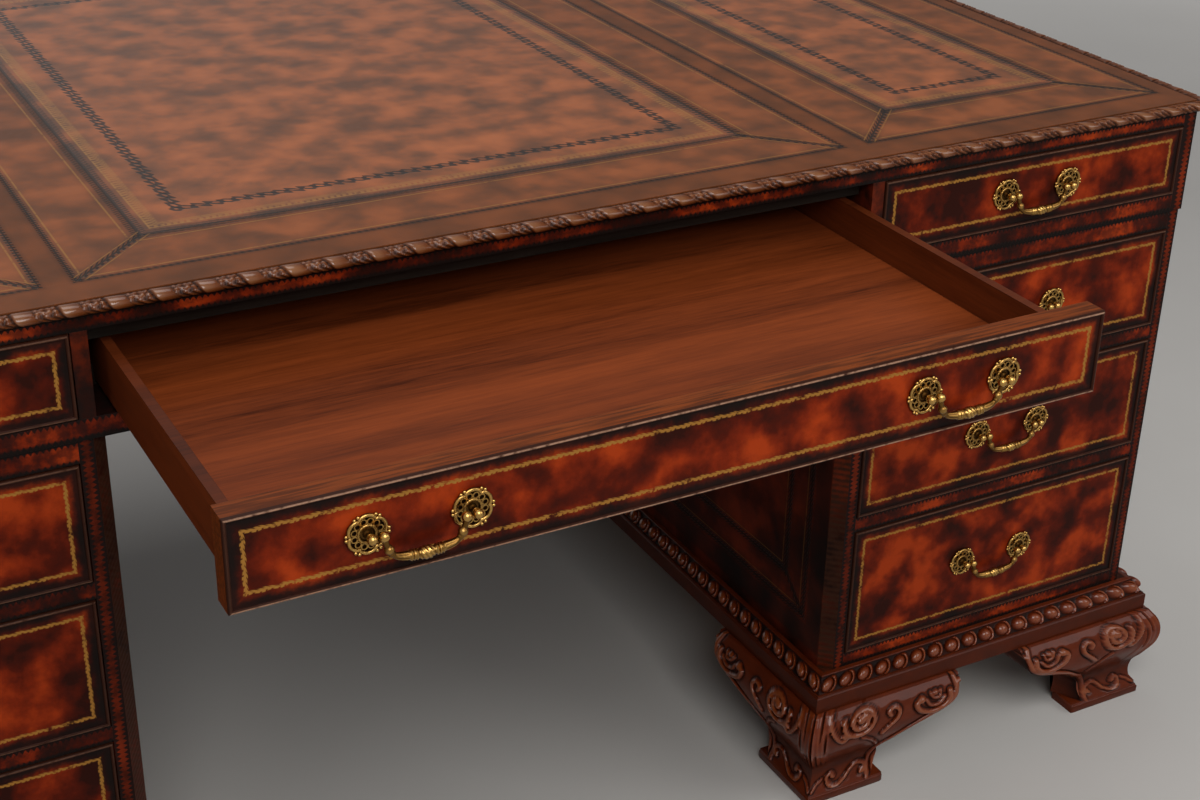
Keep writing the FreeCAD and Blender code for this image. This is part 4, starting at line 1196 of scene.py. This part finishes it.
# %% The carving of a wing
DRAWN = (
    (((20.5, 121), (23.5, 105), (30, 92), (38, 83.5), (43, 89), (40, 96)), 60, 5.6, 3.0),
    (((84, 77), (92, 85), (101, 94), (103, 102), (97, 108), (90.5, 104), (93, 99)), 60, 5.4, 3.2),
    (((61, 79), (69, 73), (76, 62), (80, 52)), 40, 5.0, 2.0),
    (((129, 107), (123.5, 101), (129, 91.5), (142, 86), (155, 88), (163, 96), (164, 106)), 70, 6.6, 3.8),
    (((135, 103), (140, 95.5), (150, 94), (157, 101)), 40, 4.4, 2.6),
    (((140, 110), (144, 103.5), (151, 103), (153, 110)), 40, 4.2, 2.4),
    (((171, 122), (172.5, 110), (169.5, 98)), 30, 6.0, 2.8),
    (((29, 15), (25, 20.5), (20, 16), (24, 7), (34, 4.5), (43, 9.5), (50, 18), (58, 23.5), (67, 19.5),
      (69, 12), (63.5, 10.5)), 90, 5.2, 3.0),
    (((3, 4), (7, 11), (13, 15)), 30, 4.4, 2.2),
)
RIDGES = [(main_volute, 6.6, 4.0)]
RIDGES += [(smooth_line(points, count), width, top) for points, count, width, top in DRAWN]
EYES = (((58.0, 106.0), 6.0, 4.8), ((39.0, 91.0), 3.6, 3.6), ((129.5, 105.5), 4.6, 4.4),
        ((146.5, 109.0), 3.6, 2.8), ((27.0, 16.0), 3.0, 3.0), ((65.5, 13.0), 3.0, 3.0))
RIM_INSET = 4.2 * MM
RIM_WIDTH = 6.0 * MM
RIM_RISE = 2.4 * MM
FLUTE_PITCH = 5.6 * MM
FLUTE_REACH = 22 * MM
FLUTE_FADE = 4 * MM
FLUTE_FOOT = 34 * MM
FLUTE_START = 14 * MM
FLUTE_RISE = 2.0 * MM
DITCH = 1.2 * MM
DITCH_HALF = 1.5 * MM
STANDING = 0.6 * MM
NECK_CLIMB = 36 * MM
NECK_HALF = 15 * MM
NECK_SHADE = 0.28


def carve(along, climb):
    """How far the carver leaves each point of a wing's face standing, and how light its colour is: crests
    paler, partly wear and partly painted highlight; hollows darker, partly dirt and partly painted shade;
    the neck darker as painted shade.
    """
    ridges = [(gap_to(line * MM, along, climb), width / 2 * MM, top * MM) for line, width, top in RIDGES]
    ridges += [(np.hypot(along - across * MM, climb - up * MM), radius * MM, top * MM)
               for (across, up), radius, top in EYES]
    edge = gap_to(np.stack([scroll[:, 0], climb_to(scroll[:, 1])], axis=1), along, climb)
    ridges.append((np.abs(edge - RIM_INSET), RIM_WIDTH / 2, RIM_RISE))
    rise = np.zeros(along.shape)
    hollow = np.zeros(along.shape)
    for gap, half, top in ridges:
        rise = np.maximum(rise, top * swell(gap / half))
        hollow = np.maximum(hollow, np.exp(-((gap - half * 1.1) / DITCH_HALF) ** 2))
    window = np.clip((FLUTE_REACH - along) / FLUTE_FADE, 0, 1)
    window = window * np.clip((climb - FLUTE_FOOT) / FLUTE_START, 0, 1)
    flute = np.abs(np.sin(math.pi * along / FLUTE_PITCH))
    rise = np.maximum(rise, FLUTE_RISE * flute * window)
    hollow = np.maximum(hollow, window * (1 - flute) ** 2) * (rise < STANDING)
    rise = rise - DITCH * hollow
    # Painted shade in the neck of the wing.
    neck_shade = NECK_SHADE * np.exp(-((climb - NECK_CLIMB) / NECK_HALF) ** 2)
    return rise, np.clip(0.55 + 0.45 * rise / (3 * MM) - 0.55 * hollow - neck_shade, 0, 1)


print(len(RIDGES), "ridges and", len(EYES), "eyes on each wing")

# %% [markdown]
# A wing's grid runs from the sawn edge to the top, and its columns lean from the leg out to the wing's
# end. Moving each point back along the wing by its own reach makes the mitre: at the corner both wings
# meet on the diagonal, and at the far end nothing moves. The pad below and the glue block behind are
# plain.

# %% A wing, its pad and its block
LEG = 76 * MM
LEG_TOP = LEG * 1.3
WING_ROWS = 72
WING_BACK = -12 * MM
PAD_LENGTH = 80 * MM
PAD_HEIGHT = 12 * MM
PAD_REACH = 26 * MM
PAD_OUTLINE = ((PAD_REACH - 2.0 * MM, PAD_HEIGHT), (PAD_REACH - 1.4 * MM, PAD_HEIGHT - 0.6 * MM),
               (PAD_REACH - 1.3 * MM, PAD_HEIGHT - 2.4 * MM), (PAD_REACH, PAD_HEIGHT - 2.8 * MM),
               (PAD_REACH, 1.2 * MM), (PAD_REACH - 1.0 * MM, 0.0), (WING_BACK, 0.0), (WING_BACK, PAD_HEIGHT))
PAD_STATIONS = ((0.0, 0.0), (0.35, 0.0), (0.97, 0.0), (1.0, 1.2 * MM))
BLOCK_NEAR = -WING_BACK
BLOCK_FAR = BLOCK_NEAR + 45 * MM
BLOCK_CUT = BLOCK_FAR - 3 * MM
BLOCK_PLAN = ((BLOCK_NEAR, BLOCK_NEAR), (BLOCK_FAR, BLOCK_NEAR), (BLOCK_FAR, BLOCK_CUT),
              (BLOCK_CUT, BLOCK_FAR), (BLOCK_NEAR, BLOCK_FAR))


def wing_shape():
    """Points of one wing: along it from the mitre, outwards from the pedestal, and up; and their depths."""
    top_along = np.concatenate([np.linspace(0, LEG_TOP, LEG_COLUMNS, endpoint=False),
                                np.linspace(LEG_TOP, WING, SCROLL_COLUMNS)])
    part = np.linspace(0, 1, WING_ROWS)[None, :]
    along = under_line[:, :1] + (top_along[:, None] - under_line[:, :1]) * part
    height = under_line[:, 1:] + (FOOT_HEIGHT - under_line[:, 1:]) * part
    rise, depth = carve(along, climb_to(height))
    reach = np.interp(height, ogee[:, 1], ogee[:, 0]) + rise
    along = np.hstack([along, along[:, -1:], along[:, :1]])
    height = np.hstack([height, height[:, -1:], height[:, :1]])
    reach = np.hstack([reach, np.full((len(reach), 2), WING_BACK)])
    depth = np.hstack([depth, np.full((len(depth), 2), BACKING_DEPTH)])
    return np.dstack([along - reach * (1 - along / WING), reach, height]), depth


def pad_shape():
    """Points of the pad under a wing, with a worn upper edge and a rounded end."""
    reach, height = np.array(PAD_OUTLINE).T
    share, tuck = np.array(PAD_STATIONS).T[:, :, None]
    reach = reach - tuck * (reach > 0)
    along = share * PAD_LENGTH - reach * (1 - share)
    return np.dstack([along, reach, np.broadcast_to(height, along.shape)])


wing_points, wing_depth = wing_shape()
pad_points = pad_shape()
pad_depth = np.full(pad_points.shape[:2], BACKING_DEPTH)
block_points = np.array([[(x, -y, z) for x, y in BLOCK_PLAN] for z in (PAD_HEIGHT, FOOT_HEIGHT)])
print("wing of", wing_depth.size, "points")

# %% [markdown]
# One wing serves all eight places under a pedestal. Mirrored copies of an object would do, but one mesh
# for each pedestal is easier to hand on, so the points are mirrored instead.

# %% Eight wings under each pedestal
def put(points, corner, inwards, swapped):
    """Turns wing coordinates into the desk's, from a pedestal's corner."""
    along, reach, height = np.moveaxis(points, -1, 0)
    aside, deep = (-reach, along) if swapped else (along, -reach)
    return np.dstack([corner[0] + inwards[0] * aside, corner[1] + inwards[1] * deep, height])


for side in ("right", "left"):
    low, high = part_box(f"{side}_pedestal_sides")
    feet = Shape()
    for corner, inwards in (((low.x, low.y), (1, 1)), ((high.x, low.y), (-1, 1)),
                            ((high.x, high.y), (-1, -1)), ((low.x, high.y), (1, -1))):
        for swapped in (False, True):
            for points, depth in ((wing_points, wing_depth), (pad_points, pad_depth)):
                feet.add(put(points, corner, inwards, swapped), tube(*points.shape[:2]), depth)
        feet.add(put(block_points, corner, inwards, False), tube(*block_points.shape[:2]))
    feet.piece(f"{side}_carved_feet", carved_wood, "case", "mahogany", f"{side}_pedestal_feet", smooth=70)
    print(side, "feet of", feet.count, "points")

# %% [markdown]
# A pull is cast brass: two pierced rosettes, a post with a round finial in each, and a bail that swings
# between. A lathe profile makes what is round, and a bar swept along a path with its own radius at each
# step makes the rest. Screw and Skin modifiers could do both, but here every point also needs its depth
# for the finish.

# %% Turned and swept brass
def round_angles(count):
    return np.arange(count) * TURN / count


def turned(centre, profile, sides):
    """A turned form about the axis that looks out of the drawer; profile pairs run out from the face."""
    angle = round_angles(sides)
    profile = np.asarray(profile, float)
    out = np.broadcast_to(-profile[:, :1], (len(profile), sides))
    points = np.dstack([profile[:, 1:] * np.cos(angle), out, profile[:, 1:] * np.sin(angle)])
    return points + np.asarray(centre), tube(len(profile), sides)


def swept(path, radii, sides, closed=False):
    """A bar along a path in the drawer's plane, with a radius for each step and each side."""
    path = np.asarray(path, float)
    ahead = np.roll(path, -1, 0) - np.roll(path, 1, 0) if closed else np.gradient(path, axis=0)
    ahead = ahead / np.linalg.norm(ahead, axis=1)[:, None]
    upright = np.array([0.0, 1.0, 0.0])
    aside = np.cross(ahead, upright)
    angle = round_angles(sides)
    ring = aside[:, None] * np.cos(angle)[:, None] + upright * np.sin(angle)[:, None]
    points = path[:, None] + ring * np.broadcast_to(radii, (len(path), sides))[..., None]
    return points, net(len(path), sides, True, True) if closed else tube(len(path), sides)


def ball(out, radius, steps=7):
    """Profile of a ball whose centre lies out from the face."""
    angle = np.linspace(0.12, math.pi - 0.12, steps)
    return [(out - radius * math.cos(turn), radius * math.sin(turn)) for turn in angle]


def circle(centre, radius, count, out):
    """Points round a centre in the drawer's plane, so far out from its face."""
    angle = round_angles(count)
    return np.stack([centre[0] + radius * np.cos(angle), np.full(count, -out),
                     centre[1] + radius * np.sin(angle)], axis=1)


print("a ball is turned from", len(ball(0.0, 1.0)), "points")

# %% [markdown]
# A rosette is a lobed rim of wire with pairs of small balls outside it, a ring of curls within, and a
# beaded cup from which the post rises. A flat plate with a picture of the piercing would be lighter, but
# light catches on real wires. Each wire is brighter on the side that stands out, where hands and cloths
# rub it.

# %% Rosettes and posts
LOBES = 6
RIM_STEPS = 96
RIM_RADIUS = 13.0 * MM
LOBE_SWELL = 2.4 * MM
RIM_BAR = 1.6 * MM
EAR_RADIUS = 16.6 * MM
EAR_BALL = 1.6 * MM
EAR_LEAN = 0.10
CURL_RADIUS = 10.3 * MM
CURL = 2.35 * MM
CURL_BAR = 0.8 * MM
CUP_RADIUS = 6.9 * MM
CUP_BAR = 1.35 * MM
CUP_STEPS = 48
PIVOT_REACH = 11 * MM
FINIAL = 4.2 * MM
SHADE_DISC_SIDES = 24
# A thin dark disc behind the rosette: painted shade that shows black through the piercings.
SHADE_DISC = ((0.0, RIM_RADIUS * 1.1), (0.2 * MM, RIM_RADIUS * 1.1), (0.3 * MM, CUP_RADIUS))
POST_SIDES = 16
POST = [(0.0, CUP_RADIUS), (0.5 * MM, CUP_RADIUS), (0.9 * MM, 4.8 * MM), (1.0 * MM, 3.6 * MM),
        (2.4 * MM, 3.2 * MM), (3.2 * MM, 2.5 * MM), (6.0 * MM, 2.3 * MM), (6.6 * MM, 3.1 * MM),
        (7.2 * MM, 3.1 * MM)]


def add_wire(shape, place, path, bar, sides, level, contrast, swelling=1.0):
    """A closed wire along a path, brighter where it stands out from the face."""
    points, faces = swept(path, bar * swelling, sides, closed=True)
    shape.add(points + place, faces, np.clip(level - (points[..., 1] + bar) / bar * contrast, 0, 1))


def add_rosette(shape, place):
    place = np.asarray(place)
    lobes = np.abs(np.sin(round_angles(RIM_STEPS) * LOBES / 2)) ** 0.6
    rim = circle((0, 0), RIM_RADIUS + LOBE_SWELL * lobes, RIM_STEPS, RIM_BAR)
    add_wire(shape, place, rim, RIM_BAR, 7, 0.5, 0.5)
    for lobe in range(LOBES):
        for lean in (-EAR_LEAN, EAR_LEAN):
            turn = TURN * lobe / LOBES + lean
            ear = place + (EAR_RADIUS * math.cos(turn), 0, EAR_RADIUS * math.sin(turn))
            shape.add(*turned(ear, ball(EAR_BALL * 1.1, EAR_BALL, 6), 8))
    for curl in range(LOBES * 2):
        turn = TURN * (curl + 0.5) / (LOBES * 2)
        centre = (CURL_RADIUS * math.cos(turn), CURL_RADIUS * math.sin(turn))
        add_wire(shape, place, circle(centre, CURL, 12, CURL_BAR * 1.2), CURL_BAR, 6, 0.35, 0.5)
    # The dark disc behind the piercings, as painted shade.
    shape.add(*turned(place, SHADE_DISC, SHADE_DISC_SIDES), np.zeros(len(SHADE_DISC) * SHADE_DISC_SIDES))
    beaded = (1 + 0.16 * np.cos(np.arange(CUP_STEPS) * TURN / 3))[:, None]
    add_wire(shape, place, circle((0, 0), CUP_RADIUS, CUP_STEPS, CUP_BAR), CUP_BAR, 7, 0.45, 0.4, beaded)
    finial = ball(PIVOT_REACH, FINIAL)[1:]
    depth = np.concatenate([np.linspace(0.15, 0.5, len(POST)), np.ones(len(finial))])
    shape.add(*turned(place, POST + finial, POST_SIDES), np.repeat(depth, POST_SIDES))


print("rosettes with", LOBES, "lobes and", LOBES * 2, "curls")

# %% [markdown]
# A bail hangs from two round knuckles and is thickest in the middle, where a leafy sleeve sits between
# rings. A curve object with a bevel could draw it, but its radius would have to be set point by point in
# any case. So the bar's radius is a line of its own along the path, raised by each ornament, and rippled
# round the bar.

# %% The bar of a bail
BAIL_HALF = ((32.2, 0.0), (31.6, -4.5), (30.0, -9.0), (28.2, -13.0), (26.0, -16.4),
             (21.5, -18.9), (14.0, -20.2), (6.0, -20.9), (0.0, -21.1))
BAIL_STEPS = 150
BAIL_SIDES = 28
BAIL_RADII = (2.4, 2.5, 2.2, 2.3, 2.2, 2.8, 3.5, 3.6, 3.2)
BAIL_KNOTS = ((12.0, 3.9), (16.0, 3.0))
SLEEVE_RINGS = (8.0, 10.2, 12.4)
RING_RADIUS = 4.5
RING_HALF = 0.95
SLEEVE_RADIUS = 5.0
SLEEVE_HALF = 7.0


def bail_bar():
    """Path, radii and depths of a bail, hanging from its pivots. Lengths inside are in millimetres."""
    half = np.array([(x, 0.0, z) for x, z in BAIL_HALF]) * MM
    whole = np.vstack([half, half[-2::-1] * (-1, 1, 1)])
    path = smooth_line(whole, BAIL_STEPS * 4)
    run = run_along(path)
    even = np.linspace(0, run[-1], BAIL_STEPS)
    path = np.stack([np.interp(even, run, path[:, axis]) for axis in range(3)], axis=1)
    from_end = np.minimum(even, run[-1] - even) / MM
    middle = run[-1] / 2 / MM
    from_middle = middle - from_end
    bar = np.interp(from_end, (0, 4, 8, 12, 17, 22, 30, middle - 12, middle), BAIL_RADII)
    for place, radius in BAIL_KNOTS:
        bar = np.maximum(bar, radius * swell((from_end - place) / radius))
    for place in SLEEVE_RINGS:
        bar = np.maximum(bar, RING_RADIUS * swell((from_middle - place) / RING_HALF) ** 0.5)
    bar = np.maximum(bar, SLEEVE_RADIUS * swell(from_middle / SLEEVE_HALF) ** 0.6)[:, None]
    angle = round_angles(BAIL_SIDES)
    reeds = np.clip((from_end - 19) / 3, 0, 1) * np.clip((from_middle - 14) / 1.5, 0, 1)
    leaf = np.clip((6.6 - from_middle) / 1.0, 0, 1)
    twist = (even / MM * 1.7)[:, None]
    ripple = reeds[:, None] * np.cos(angle * 7) + leaf[:, None] * np.cos(angle * 4 + twist)
    return path, bar * (1 + 0.075 * ripple) * MM, np.clip(0.62 + 0.3 * ripple + 0.2 * (bar - 3.2), 0, 1)


bail_path, bail_radii, bail_depth = bail_bar()
print("bail radius", round(bail_radii.min() / MM, 1), "to", round(bail_radii.max() / MM, 1), "mm")

# %% [markdown]
# Each pull stands where the frame has the bail's hinge. Rosettes and posts ride on the drawer, and the
# bail on its own body, so that it can be lifted. The hinge gives the place, so no pull's position is
# typed here.

# %% Pulls on every drawer
KNUCKLE = 4.2 * MM
POST_SPACING = 83 * MM
bails = [node for node in nodes if node.endswith("_bail")]
joints = {joint["child"]: joint for joint in frame["joints"]}
rosettes = {drawer: Shape() for drawer in DRAWERS}
for node in bails:
    handle = node[:-len("_bail")] + "_handle"
    pivot = np.array(joints[handle]["pos_m"])
    drawer = joints[handle]["parent"]
    points, faces = swept(bail_path, bail_radii, BAIL_SIDES)
    bail = Shape()
    bail.add(points + pivot, faces, bail_depth)
    for end in (bail_path[0], bail_path[-1]):
        bail.add(*turned(pivot + end, ball(0.0, KNUCKLE, 9), 16))
    bail.piece(node.replace("_bail", "_cast_bail"), brass, handle, "brass", node, smooth=60)
    for way in (-1, 1):
        add_rosette(rosettes[drawer], pivot + (way * POST_SPACING / 2, PIVOT_REACH, 0))
for drawer, shape in rosettes.items():
    shape.piece(drawer + "_rosettes", brass, drawer, "brass", drawer + "_pulls", smooth=60)
print(len(bails), "bails and", len(bails) * 2, "rosettes")

# %% [markdown]
# Carved pieces may stand a few millimetres beyond the packed boards.
